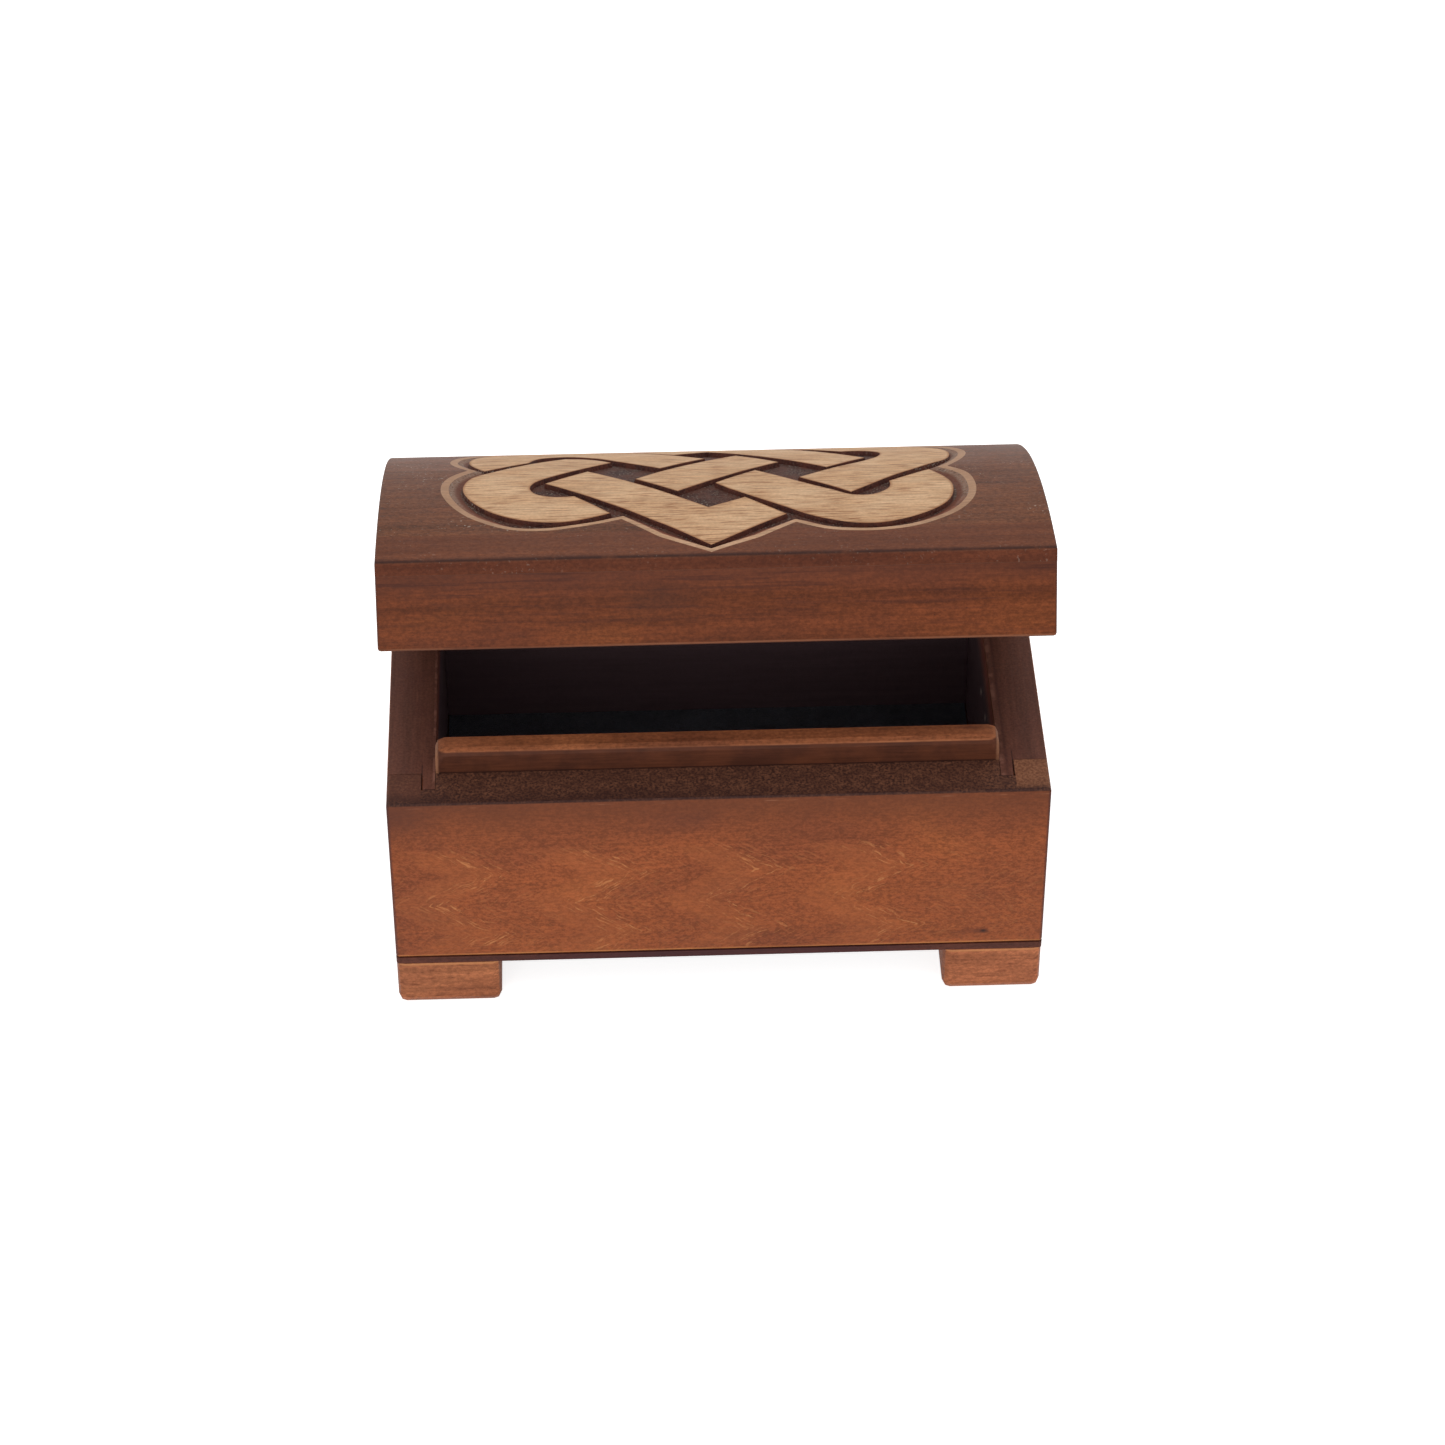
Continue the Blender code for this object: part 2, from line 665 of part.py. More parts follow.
def hinges(body_wall, lid_wall, brass, steel, body, lid):
    """Two butt hinges: the body's leaf holds the outer knuckles and the pin, the lid's leaf the middle one."""
    screw = screw_data(steel)
    pin = pin_data(steel)
    for side, centre in (("left", -HINGE_REACH), ("right", HINGE_REACH)):
        seat_hinge(body_wall, centre, BELOW, body)
        seat_hinge(lid_wall, centre, ABOVE, lid)
        hinge_leaf(f"{side}_hinge_body_leaf", centre, BELOW, (0, 2), (1,), brass, body)
        hinge_leaf(f"{side}_hinge_lid_leaf", centre, ABOVE, (1,), (0, 2), brass, lid)
        stand(f"{side}_hinge_pin", pin, HINGE_AXIS + Vector((centre, 0, 0)), body)
        for end, below, above in zip(
            ("left", "right"), screw_places(centre, BELOW), screw_places(centre, ABOVE)
        ):
            stand(f"{side}_hinge_body_{end}_screw", screw, below, body)
            stand(f"{side}_hinge_lid_{end}_screw", screw, above, lid, turn=(math.pi, 0, 0))


def reach_behind():
    """How far the lid, part open, stands out behind the body."""
    turn = math.radians(LID_OPEN_DEGREES)
    top = PANEL_Z + PANEL_EDGE - HINGE_AXIS.z
    return HINGE_INSET * math.cos(turn) + top * math.sin(turn) - HINGE_INSET


def build():
    clear_scene()
    body = holder("box_origin", (0, 0, 0))
    lid = holder("lid_hinge_line", HINGE_AXIS, parent=body)

    wall_stain = finish("wall_stain", (150, 82, 50), 0.42)
    strip_stain = finish("strip_stain", (160, 92, 50), 0.45)
    bottom_stain = finish("bottom_stain", (86, 46, 40), 0.55)
    foot_stain = finish("foot_stain", (148, 80, 48), 0.45)
    felt = finish("dark_felt", (26, 27, 34), 0.95)
    lid_stain = finish("lid_frame_stain", (132, 76, 52), 0.42)
    dome_stain = finish("dome_stain", (112, 72, 56), 0.40)
    brass = finish("hinge_brass", (190, 150, 78), 0.35, 1.0)
    steel = finish("hinge_steel", (150, 146, 138), 0.35, 1.0)

    body_walls = {}
    for side in ("front", "back"):
        body_walls[side] = long_wall(
            f"{side}_board", side, WALL_Z, WALL_HEIGHT, LONG_WALL, SIDE_WALL, BELOW, wall_stain, body
        )
    for side in ("left", "right"):
        side_wall(
            f"{side}_board", side, WALL_Z, WALL_HEIGHT, SIDE_WALL, LONG_WALL, BELOW, wall_stain, body
        )
    bottom_panel(bottom_stain, body)
    floor_lining(felt, body)
    feet(foot_stain, body)
    locating_strip(strip_stain, body)

    lid_walls = {}
    for side in ("front", "back"):
        lid_walls[side] = long_wall(
            f"lid_{side}_board", side, LID_Z, LID_FRAME_HEIGHT, LID_LONG_WALL, LID_SIDE_WALL,
            ABOVE, lid_stain, lid,
        )
    for side in ("left", "right"):
        side_wall(
            f"lid_{side}_board", side, LID_Z, LID_FRAME_HEIGHT, LID_SIDE_WALL, LID_LONG_WALL,
            ABOVE, lid_stain, lid,
        )
    domed_panel(dome_stain, lid)
    hinges(body_walls["back"], lid_walls["back"], brass, steel, body, lid)

    lid.rotation_euler.x = -math.radians(LID_OPEN_DEGREES)
    body.location.y = -reach_behind() / 2


build()
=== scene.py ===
"""The looks of a small stained wooden keepsake box with a knot carved into its domed lid.

X runs to the right, Y to the back and Z up, in metres. Pieces of the lid are made in place on the closed box
and then turned open with it. The carving is drawn flat, as x across the lid and s along the arch from its
crown, in millimetres, and is then bent over the arch.
"""

import json
import math

import bmesh
import bpy
from mathutils import Matrix, Vector, noise


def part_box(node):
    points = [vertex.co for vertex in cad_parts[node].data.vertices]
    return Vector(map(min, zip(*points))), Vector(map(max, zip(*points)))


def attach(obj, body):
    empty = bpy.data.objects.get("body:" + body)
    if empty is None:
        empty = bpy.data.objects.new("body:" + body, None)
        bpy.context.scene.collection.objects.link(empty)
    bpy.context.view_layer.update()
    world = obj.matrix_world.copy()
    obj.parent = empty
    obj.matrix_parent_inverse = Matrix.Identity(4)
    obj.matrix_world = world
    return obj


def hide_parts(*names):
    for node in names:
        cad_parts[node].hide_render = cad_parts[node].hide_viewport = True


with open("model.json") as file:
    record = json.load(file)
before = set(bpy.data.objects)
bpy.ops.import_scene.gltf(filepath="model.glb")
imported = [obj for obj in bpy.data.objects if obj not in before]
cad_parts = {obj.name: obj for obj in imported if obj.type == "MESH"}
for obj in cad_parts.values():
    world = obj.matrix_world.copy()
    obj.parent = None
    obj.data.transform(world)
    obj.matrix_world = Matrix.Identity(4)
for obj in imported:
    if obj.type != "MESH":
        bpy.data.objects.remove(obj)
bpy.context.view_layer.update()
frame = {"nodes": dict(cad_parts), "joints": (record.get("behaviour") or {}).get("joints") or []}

MM = 0.001
MERGE = 1e-6

# The photograph's viewpoint. Its picture is square.
CAMERA_PLACE = Vector((-0.02189, -0.67131, 0.60844))
CAMERA_YAW = 0.0359
CAMERA_PITCH = 0.7075
CAMERA_ROLL = -0.0007
CAMERA_LENS = 106.9

# The lid's hinge line, and how far the lid stands open.
HINGE = Vector(frame["joints"][0]["pos_m"])
OPEN_TURN = -math.radians(frame["joints"][0]["range_deg"][0])
OPENED = (
    Matrix.Translation(HINGE) @ Matrix.Rotation(-OPEN_TURN, 4, "X") @ Matrix.Translation(-HINGE)
)
CLOSED = OPENED.inverted()

# The domed board.
PANEL_EDGE = 2.6 * MM
DOME_STEPS = 84
ARRIS = 0.45 * MM
DOME_FACET = 32.5 * MM
GLUE_LINE = 0.09 * MM
INSIDE_TONE = (110, 88, 92)
LID_INSIDE_TONE = (96, 62, 48)

# Where a side board's tongue ends in the front board: how far from the middle, and how far to the front.
TONGUE = (58.1 * MM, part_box("left_board")[0][1])
JOINT_LINE = 0.22 * MM
JOINT_TONE = (36, 20, 20)

# The felt and the screws' slots.
FELT_RISE = 0.08 * MM
SLOT_WIDTH = 0.35 * MM
SLOT_DEPTH = 0.3 * MM

# How deep and how wide the carving is cut.
CARVED_DEPTH = 1.0 * MM
RIM_WIDTH = 1.25 * MM
SIDE_RIM_WIDTH = 0.3 * MM
RIM_DEPTH = 0.14 * MM
RIM_LIFT = 0.02 * MM
SLOPE_WIDTH = 1.1 * MM
SIDE_SLOPE_WIDTH = 1.3 * MM
STRAP_SINK = 0.1 * MM
STRAP_FLARE = 0.15 * MM
STRAP_EASE = 0.13 * MM
TOAST_WIDTH = 0.6 * MM
TOASTED = "toasted"
CUTTER_STAND = 1.0 * MM
PLAN_STEP = 0.9
BEND_STEP = 1.5 * MM
WAVER = 0.16 * MM
WAVER_SIZE = 7.0 * MM
WAVER_SEED = 5

# The knot's seven straps, each from where it comes up from under another to where it goes under again.
# A stretch starts at a corner, and any more points in it lie on a smooth curve to the next corner.
STRAPS = {
    "front_point": (
        [(-32.7, -6.7)], [(-0.8, -38.6)], [(14.2, -26.2)], [(6.3, -17.3)], [(-0.8, -22.3)],
        [(-24.3, 2.1)],
    ),
    "front_left_loop": (
        [(-26.9, -14.8)],
        [(-19.9, -24.1), (-30.4, -27.9), (-40.0, -25.0), (-46.8, -17.2), (-48.7, -8.5), (-47.0, -1.0),
         (-42.8, 3.6), (-36.0, 10.6)],
        [(-28.8, 16.9), (-25.2, 15.9)],
        [(-19.4, 10.4)],
        [(-31.2, -1.6), (-34.8, -6.0), (-35.6, -9.6), (-34.3, -13.3), (-31.4, -14.9)],
    ),
    "front_right_loop": (
        [(0.9, -8.5)],
        [(3.5, -12.4), (9.0, -18.1), (14.4, -23.3), (21.0, -28.4), (30.0, -31.2), (39.6, -28.0),
         (46.0, -21.3), (47.5, -13.5)],
        [(43.6, -2.1)],
        [(35.1, -9.8), (34.6, -14.2), (31.4, -17.3), (27.4, -17.2), (23.8, -14.4)],
        [(9.1, 0.2)],
    ),
    "middle_bar": ([(-15.0, -4.7)], [(-6.6, -13.3)], [(14.2, 7.1)], [(5.8, 16.5)]),
    "back_left_loop": (
        [(-0.6, 12.9)],
        [(-9.8, 3.4), (-18.2, 11.6), (-23.6, 17.6), (-28.4, 20.4), (-32.6, 19.3)],
        [(-36.0, 12.3)],
        [(-44.8, 4.1), (-48.0, 12.0), (-47.4, 20.0), (-42.8, 28.2), (-36.0, 32.6), (-28.0, 33.4),
         (-20.5, 30.6)],
        [(-13.2, 25.3)],
    ),
    "back_right_loop": (
        [(17.5, -6.0)],
        [(27.2, -16.0), (30.6, -12.4), (36.0, -6.4), (43.0, 1.0), (47.6, 6.6), (48.9, 13.0), (47.0, 21.6),
         (41.6, 28.6), (34.0, 32.2), (26.4, 31.4)],
        [(19.8, 26.7)],
        [(27.3, 19.7), (31.6, 19.9), (34.6, 16.8), (34.2, 11.6), (31.0, 6.6), (26.6, 2.4), (22.0, -1.9)],
    ),
    "back_point": (
        [(31.6, 9.8)], [(18.0, 25.6)], [(0.6, 38.4)], [(-14.2, 27.0)], [(-6.7, 20.0)], [(0.3, 25.2)],
        [(23.4, 1.3)],
    ),
}

# The outer edge of the carved channel round the knot, drawn the same way.
BORDER = (
    [(-48.2, 5.2), (-51.8, -1.0), (-53.2, -9.0), (-51.6, -17.2), (-47.0, -25.2), (-40.2, -30.4),
     (-33.0, -31.5), (-25.0, -29.8)],
    [(-17.9, -27.1)],
    [(-11.0, -34.7)],
    [(-0.9, -41.3)],
    [(8.5, -35.9)],
    [(15.8, -30.0), (22.0, -33.3), (30.0, -34.2), (39.4, -32.4), (46.8, -27.2), (51.2, -19.4),
     (51.9, -11.0), (50.4, -4.0)],
    [(47.4, 0.1), (50.9, 7.0), (52.2, 14.5), (50.2, 23.5), (45.0, 31.2), (36.0, 35.4), (27.0, 34.8)],
    [(19.0, 30.6)],
    [(0.7, 41.2)],
    [(-15.4, 31.4), (-22.0, 35.0), (-31.0, 36.2), (-40.2, 33.8), (-47.2, 28.2), (-51.2, 20.6),
     (-51.6, 12.0)],
)


def display(red, green, blue):
    """A colour given as 0 to 255 on a display, as a shader takes it."""
    levels = [level / 255 for level in (red, green, blue)]
    linear = [v / 12.92 if v <= 0.04045 else ((v + 0.055) / 1.055) ** 2.4 for v in levels]
    return (*linear, 1.0)


class Recipe:
    """A finish being mixed: the nodes of one material or surround, added a step at a time."""

    def __init__(self, name, shelf=bpy.data.materials):
        self.owner = shelf.new(name)
        self.owner.use_nodes = True
        self.nodes = self.owner.node_tree.nodes
        self.links = self.owner.node_tree.links
        self.shader = self.nodes.get("Principled BSDF") or self.nodes["Background"]

    @property
    def place(self):
        """A point's place on its own piece."""
        return self.step("ShaderNodeTexCoord", {}).outputs["Object"]

    def feed(self, socket, value):
        if isinstance(value, bpy.types.NodeSocket):
            self.links.new(value, socket)
        else:
            socket.default_value = value

    def step(self, kind, inputs, **settings):
        node = self.nodes.new(kind)
        for name, value in settings.items():
            setattr(node, name, value)
        for name, value in inputs.items():
            self.feed(node.inputs[name], value)
        return node

    def turned(self, place, turn=(0, 0, 0), shift=(0, 0, 0), scale=(1, 1, 1)):
        """A pattern's place, turned, moved and stretched."""
        inputs = {"Vector": place, "Location": shift, "Rotation": turn, "Scale": scale}
        return self.step("ShaderNodeMapping", inputs, vector_type="POINT").outputs["Vector"]

    def noise(self, place, size, detail=3.0, rough=0.5, twist=0.0):
        """Cloudy noise from 0 to 1, its largest clouds about as big as size."""
        inputs = {
            "Vector": place, "Scale": 1 / size, "Detail": detail, "Roughness": rough, "Distortion": twist
        }
        return self.step("ShaderNodeTexNoise", inputs).outputs["Fac"]

    def sum(self, operation, first, second=0.0, third=0.0):
        return self.step(
            "ShaderNodeMath", {0: first, 1: second, 2: third}, operation=operation
        ).outputs["Value"]

    def grade(self, value, low, high, start=0.0, end=1.0):
        """Goes smoothly from start to end as value goes from low to high."""
        inputs = {"Value": value, "From Min": low, "From Max": high, "To Min": start, "To Max": end}
        return self.step(
            "ShaderNodeMapRange", inputs, interpolation_type="SMOOTHSTEP"
        ).outputs["Result"]

    def near(self, value, middle, reach):
        """1 where value is middle, falling to 0 at reach away from it."""
        away = self.sum("ABSOLUTE", self.sum("SUBTRACT", value, middle))
        return self.grade(away, 0.0, reach, 1.0, 0.0)

    def within(self, value, low, high, soft):
        """1 while value lies between low and high, falling to 0 over soft beyond them."""
        return self.both(
            self.grade(value, low - soft, low), self.grade(value, high, high + soft, 1.0, 0.0)
        )

    def both(self, first, second):
        return self.sum("MULTIPLY", first, second)

    def spot(self, axes, middle, reach):
        """1 at a place on the X and Z axes, fading out at reach along each."""
        return self.both(self.near(axes[0], middle[0], reach[0]), self.near(axes[2], middle[1], reach[1]))

    def round(self, axes, place):
        """How far away a place on the Y and Z axes is."""
        squares = [
            self.sum("POWER", self.sum("SUBTRACT", axis, at), 2.0) for axis, at in zip(axes[1:3], place)
        ]
        return self.sum("POWER", self.sum("ADD", *squares), 0.5)

    def tint(self, share, under, over, mode="MIX"):
        """Lays one colour over another by a share."""
        node = self.nodes.new("ShaderNodeMix")
        node.data_type = "RGBA"
        node.blend_type = mode
        self.feed(node.inputs["Factor"], share)
        colours = [socket for socket in node.inputs if socket.type == "RGBA"]
        self.feed(colours[0], under)
        self.feed(colours[1], over)
        return [socket for socket in node.outputs if socket.type == "RGBA"][0]

    def lay(self, colour, share, tone, strength=None):
        """Lays a display colour over another by a share, weakened to a strength."""
        if strength:
            share = self.sum("MULTIPLY", share, strength)
        return self.tint(share, colour, display(*tone))

    def vary(self, colour, value, low, high, start, end):
        """Makes a colour darker or lighter as a value goes from low to high."""
        return self.tint(1.0, colour, self.grade(value, low, high, start, end), "MULTIPLY")

    def axes(self, place):
        return self.step("ShaderNodeSeparateXYZ", {"Vector": place}).outputs

    def raise_by(self, height, distance, strength=1.0):
        """Turns a height into bumps that are distance deep."""
        inputs = {"Height": height, "Distance": distance, "Strength": strength}
        self.set(Normal=self.step("ShaderNodeBump", inputs).outputs["Normal"])

    def set(self, **values):
        for name, value in values.items():
            self.feed(self.shader.inputs[name.replace("_", " ")], value)
        return self.owner

    def done(self, colour, roughness, **more):
        return self.set(Base_Color=colour, Roughness=roughness, **more)


def closed_box(name):
    """A lid node's lowest and highest corner as it lies in the closed box."""
    points = [CLOSED @ vert.co for vert in frame["nodes"][name].data.vertices]
    return [Vector([pick(values) for values in zip(*points)]) for pick in (min, max)]


def grained(mix, own, tone, depth, along=(0.05, 1, 1)):
    """A display colour broken up by fine and broad streaks of grain."""
    fine = mix.noise(mix.turned(own, scale=along), 0.5 * MM, rough=0.65)
    broad = mix.noise(mix.turned(own, scale=along), 2.8 * MM, detail=4, rough=0.6, twist=0.3)
    grit = mix.noise(own, 0.55 * MM, detail=2, rough=0.6)
    shade = mix.sum("MULTIPLY_ADD", grit, 0.4, mix.sum("MULTIPLY_ADD", fine, 0.6, broad))
    return mix.vary(display(*tone), shade, 0.7, 1.3, 1 - depth, 1 + depth)


def board_place(mix, on_lid):
    """A pattern's place on the closed box, so that the wood's grain follows the boards."""
    if not on_lid:
        return mix.place
    shift = HINGE - CLOSED.to_3x3() @ HINGE
    return mix.turned(mix.place, turn=(OPEN_TURN, 0, 0), shift=shift)


def arris_share(mix, axes, low, high, reach):
    """1 at a board's edges, falling to 0 at reach from them, from the second nearest of its sides."""
    depths = []
    for axis in range(3):
        middle = (low[axis] + high[axis]) / 2
        half = (high[axis] - low[axis]) / 2
        away = mix.sum("ABSOLUTE", mix.sum("SUBTRACT", axes[axis], middle))
        depths.append(mix.sum("SUBTRACT", half, away))
    least = mix.sum("MINIMUM", mix.sum("MINIMUM", depths[0], depths[1]), depths[2])
    most = mix.sum("MAXIMUM", mix.sum("MAXIMUM", depths[0], depths[1]), depths[2])
    whole = mix.sum("ADD", mix.sum("ADD", depths[0], depths[1]), depths[2])
    second = mix.sum("SUBTRACT", mix.sum("SUBTRACT", whole, least), most)
    return mix.grade(second, 0.0, reach, 1.0, 0.0)


def stained_wood(
    name, box, tones, grain="x", on_lid=False, seed=0.0, streaky=0.35, rough=0.22, worn=0.4, extra=None
):
    """Stained fine-grained wood: fibres, pores, cloudy stain, end grain and rubbed arrises.

    tones holds the stain's usual, dark and light display colours; rough says how speckled it is, and worn
    how rubbed its arrises are.
    """
    mix = Recipe(name)
    usual, dark, light = (display(*tone) for tone in tones)
    place = board_place(mix, on_lid)
    axes = mix.axes(place)
    own = mix.turned(place, shift=(seed, seed * 0.37, seed * 0.61))

    def drawn_out(share):
        return mix.turned(own, scale=(share, 1, 1) if grain == "x" else (1, share, 1))

    fibres = mix.noise(drawn_out(0.1), 0.45 * MM, detail=4, rough=0.6)
    streaks = mix.noise(drawn_out(0.04), 2.4 * MM, detail=4, rough=0.62, twist=0.2)
    pores = mix.noise(drawn_out(0.3), 0.26 * MM, detail=2)
    speckle = mix.noise(drawn_out(0.7), 0.62 * MM, rough=0.75)
    clouds = mix.noise(drawn_out(0.5), 13 * MM, rough=0.5, twist=0.4)

    colour = mix.tint(mix.grade(clouds, 0.42, 0.72, 0.0, 0.6), usual, dark)
    colour = mix.tint(mix.grade(clouds, 0.26, 0.44, 0.45, 0.0), colour, light)
    colour = mix.vary(colour, streaks, 0.3, 0.7, 1 - 0.6 * streaky, 1 + 0.4 * streaky)
    colour = mix.vary(colour, fibres, 0.28, 0.72, 0.86, 1.14)
    colour = mix.vary(colour, speckle, 0.34, 0.66, 1 - rough, 1 + rough)
    colour = mix.lay(colour, mix.grade(pores, 0.64, 0.76, 0.0, 0.45), (52, 28, 22))

    if grain == "x":
        colour = end_grain(mix, axes, box, colour, dark)
    rubbed = mix.both(arris_share(mix, axes, *box, 0.6 * MM), mix.grade(clouds, 0.3, 0.7, 0.1, 0.7))
    colour = mix.tint(mix.sum("MULTIPLY", rubbed, worn), colour, light)
    if extra:
        colour = extra(mix, axes, own, colour)

    height = mix.sum("ADD", fibres, mix.sum("MULTIPLY", speckle, 0.6))
    height = mix.sum("SUBTRACT", height, mix.grade(pores, 0.64, 0.76))
    mix.raise_by(height, 0.04 * MM, 0.5)
    roughness = mix.grade(fibres, 0.2, 0.8, 0.5, 0.64)
    return mix.done(colour, roughness, Specular_IOR_Level=0.12)


def end_grain(mix, axes, box, colour, dark):
    """Lays year rings and open pores on the two ends of a board whose grain runs along X."""
    low, high = box
    away = mix.sum("ABSOLUTE", mix.sum("SUBTRACT", axes[0], (low[0] + high[0]) / 2))
    half = (high[0] - low[0]) / 2
    ends = mix.grade(away, half - 0.55 * MM, half - 0.2 * MM)
    pith = (low[1] - 9 * MM, low[2] - 30 * MM)
    wander = mix.noise(mix.place, 6 * MM)
    radius = mix.sum("MULTIPLY_ADD", wander, 2 * MM, mix.round(axes, pith))
    ring = mix.grade(mix.sum("FRACT", mix.sum("MULTIPLY", radius, 1 / (1.7 * MM))), 0.45, 1.0)
    dots = mix.grade(mix.noise(mix.place, 0.3 * MM, detail=2), 0.45, 0.7)
    colour = mix.tint(mix.sum("MULTIPLY", ends, 0.55), colour, dark)
    share = mix.sum("MULTIPLY_ADD", ring, 0.3, mix.sum("MULTIPLY", dots, 0.3))
    return mix.lay(colour, mix.both(ends, share), (58, 32, 26))


def bare_wood(name, tones, seed=0.0, stroke=0.85, dull=0.0):
    """Unstained wood with short, thin, darker strokes along its grain, toasted where a layer says so.

    dull is how much of its paleness it has lost at the two sides.
    """
    mix = Recipe(name)
    usual, dark, light = (display(*tone) for tone in tones)
    place = board_place(mix, on_lid=True)
    own = mix.turned(place, shift=(seed, seed * 0.5, 0))
    strokes = mix.noise(mix.turned(own, scale=(0.1, 1, 1)), 0.5 * MM, detail=2, twist=0.2)
    fine = mix.noise(mix.turned(own, scale=(0.05, 1, 1)), 0.42 * MM, rough=0.6)
    patches = mix.noise(mix.turned(own, scale=(0.6, 1, 1)), 7 * MM, rough=0.55)
    mottle = mix.noise(own, 0.6 * MM, detail=2, rough=0.6)
    colour = mix.tint(mix.grade(patches, 0.35, 0.7), usual, light)
    thick = mix.grade(patches, 0.3, 0.6, 1.0, 0.65)
    colour = mix.tint(mix.both(mix.grade(strokes, 0.5, 0.66, 0.0, stroke), thick), colour, dark)
    colour = mix.vary(colour, fine, 0.28, 0.72, 0.8, 1.12)
    colour = mix.vary(colour, mottle, 0.3, 0.7, 0.92, 1.08)
    toast = mix.step("ShaderNodeAttribute", {}, attribute_name=TOASTED).outputs["Fac"]
    toast = mix.both(toast, mix.grade(patches, 0.25, 0.65, 0.55, 1.0))
    colour = mix.lay(colour, toast, (146, 96, 62))
    sides = mix.grade(mix.sum("ABSOLUTE", mix.axes(place)[0]), 30 * MM, 46 * MM, 0.0, dull)
    colour = mix.lay(colour, sides, (138, 104, 84))
    mix.raise_by(mix.sum("ADD", strokes, fine), 0.04 * MM, 0.5)
    return mix.done(colour, mix.grade(fine, 0.2, 0.8, 0.6, 0.74), Specular_IOR_Level=0.12)


def scorched_wood(name, usual, dark, dust, side_dust_and_sheen, deep=0.0, specked=0.15):
    """The carving's scorched walls and floor, with pale dust in the tool marks, and a grey at the two sides
    that is dust and painted sheen.

    side_dust_and_sheen is how grey the sides are with dust and painted sheen, deep how dark it gets towards
    the bottom with burn and painted shade, and specked how many of the specks lie elsewhere than at the sides.
    """
    mix = Recipe(name)
    place = board_place(mix, on_lid=True)
    axes = mix.axes(place)
    sides = mix.grade(mix.sum("ABSOLUTE", axes[0]), 34 * MM, 46 * MM)
    sides = mix.both(sides, mix.grade(axes[1], -30 * MM, -16 * MM))
    sunk = mix.sum("SUBTRACT", Dome.radius, mix.round(axes, (Dome.middle, Dome.centre_z)))
    clouds = mix.noise(place, 4 * MM, rough=0.6)
    marks = mix.noise(mix.turned(place, scale=(0.5, 1, 1)), 0.7 * MM, detail=4, rough=0.65, twist=0.5)
    specks = mix.noise(place, 0.42 * MM, detail=2, rough=0.6)
    colour = mix.tint(mix.grade(clouds, 0.35, 0.65), display(*usual), display(*dark))
    colour = mix.lay(colour, mix.grade(marks, 0.5, 0.72, 0.0, 0.35), dust)
    # Grey at the two sides: dust, and painted sheen on the slopes there.
    colour = mix.lay(colour, sides, dust, side_dust_and_sheen)
    dots = mix.both(mix.grade(specks, 0.54, 0.64), mix.grade(clouds, 0.38, 0.6, 0.2, 0.85))
    dots = mix.both(dots, mix.grade(sides, 0.0, 1.0, specked, 1.0))
    colour = mix.lay(colour, dots, (146, 134, 122))
    pits = mix.grade(mix.noise(place, 0.6 * MM, rough=0.7), 0.53, 0.66, 0.0, 0.65)
    colour = mix.lay(colour, pits, (40, 24, 24))
    # Darker towards the bottom of the cut: burn, and painted shade at the foot of the straps.
    burn_and_shade = mix.grade(sunk, 0.42 * MM, 0.72 * MM, 0.0, deep)
    colour = mix.lay(colour, burn_and_shade, (98, 56, 43))
    mix.raise_by(marks, 0.2 * MM, 0.6)
    return mix.done(colour, mix.grade(marks, 0.2, 0.8, 0.6, 0.85), Specular_IOR_Level=0.12)


def felt(name):
    """Dark felt: a matted, fuzzy surface."""
    mix = Recipe(name)
    fuzz = mix.noise(mix.place, 0.35 * MM, detail=4, rough=0.7, twist=1.2)
    clouds = mix.noise(mix.place, 9 * MM)
    colour = mix.tint(mix.grade(fuzz, 0.3, 0.7), display(43, 44, 52), display(78, 81, 94))
    colour = mix.vary(colour, clouds, 0.3, 0.7, 0.8, 1.15)
    mix.raise_by(fuzz, 0.2 * MM, 0.8)
    return mix.done(
        colour, mix.grade(fuzz, 0.2, 0.8, 0.85, 1.0), Specular_IOR_Level=0.15, Sheen_Weight=0.35
    )


def metal(name, bright, dull, rough):
    """Hinge metal: brushed, with dull patches and fine scratches."""
    mix = Recipe(name)
    brushed = mix.noise(mix.turned(mix.place, scale=(0.08, 1, 1)), 0.12 * MM)
    patches = mix.noise(mix.place, 1.6 * MM, detail=4, rough=0.6)
    tarnish = mix.grade(patches, 0.4, 0.68)
    colour = mix.tint(tarnish, display(*bright), display(*dull))
    mix.raise_by(brushed, 0.01 * MM, 0.5)
    roughness = mix.sum("MULTIPLY_ADD", tarnish, 0.22, mix.grade(brushed, 0.2, 0.8, rough, rough + 0.1))
    return mix.done(colour, roughness, Metallic=1.0)


def smooth_curve(points, step):
    """Points about step apart on a smooth curve through the given ones, without the last."""
    spans = [(b - a).length for a, b in zip(points, points[1:])]
    slopes = [(b - a) / span for a, b, span in zip(points, points[1:], spans)]
    leans = [slopes[0]]
    for before, after, one, two in zip(slopes, slopes[1:], spans, spans[1:]):
        leans.append((before * two + after * one) / (one + two))
    leans.append(slopes[-1])
    leans[0] = slopes[0] * 1.5 - leans[1] * 0.5
    leans[-1] = slopes[-1] * 1.5 - leans[-2] * 0.5
    drawn = []
    for start, end, span, lean, next_lean in zip(points, points[1:], spans, leans, leans[1:]):
        count = max(1, round(span / step))
        for part in range(count):
            t = part / count
            drawn.append(
                start * (2 * t**3 - 3 * t**2 + 1)
                + lean * span * (t**3 - 2 * t**2 + t)
                + end * (3 * t**2 - 2 * t**3)
                + next_lean * span * (t**3 - t**2)
            )
    return drawn


def drawn_outline(stretches):
    """The closed outline that stretches of listed points draw, in metres."""
    outline = []
    for stretch, after in zip(stretches, stretches[1:] + stretches[:1]):
        points = [Vector(point) for point in (*stretch, after[0])]
        outline += smooth_curve(points, PLAN_STEP) if len(points) > 2 else points[:1]
    if sum(a.x * b.y - b.x * a.y for a, b in zip(outline, outline[1:] + outline[:1])) < 0:
        outline.reverse()
    return [point * MM for point in outline]


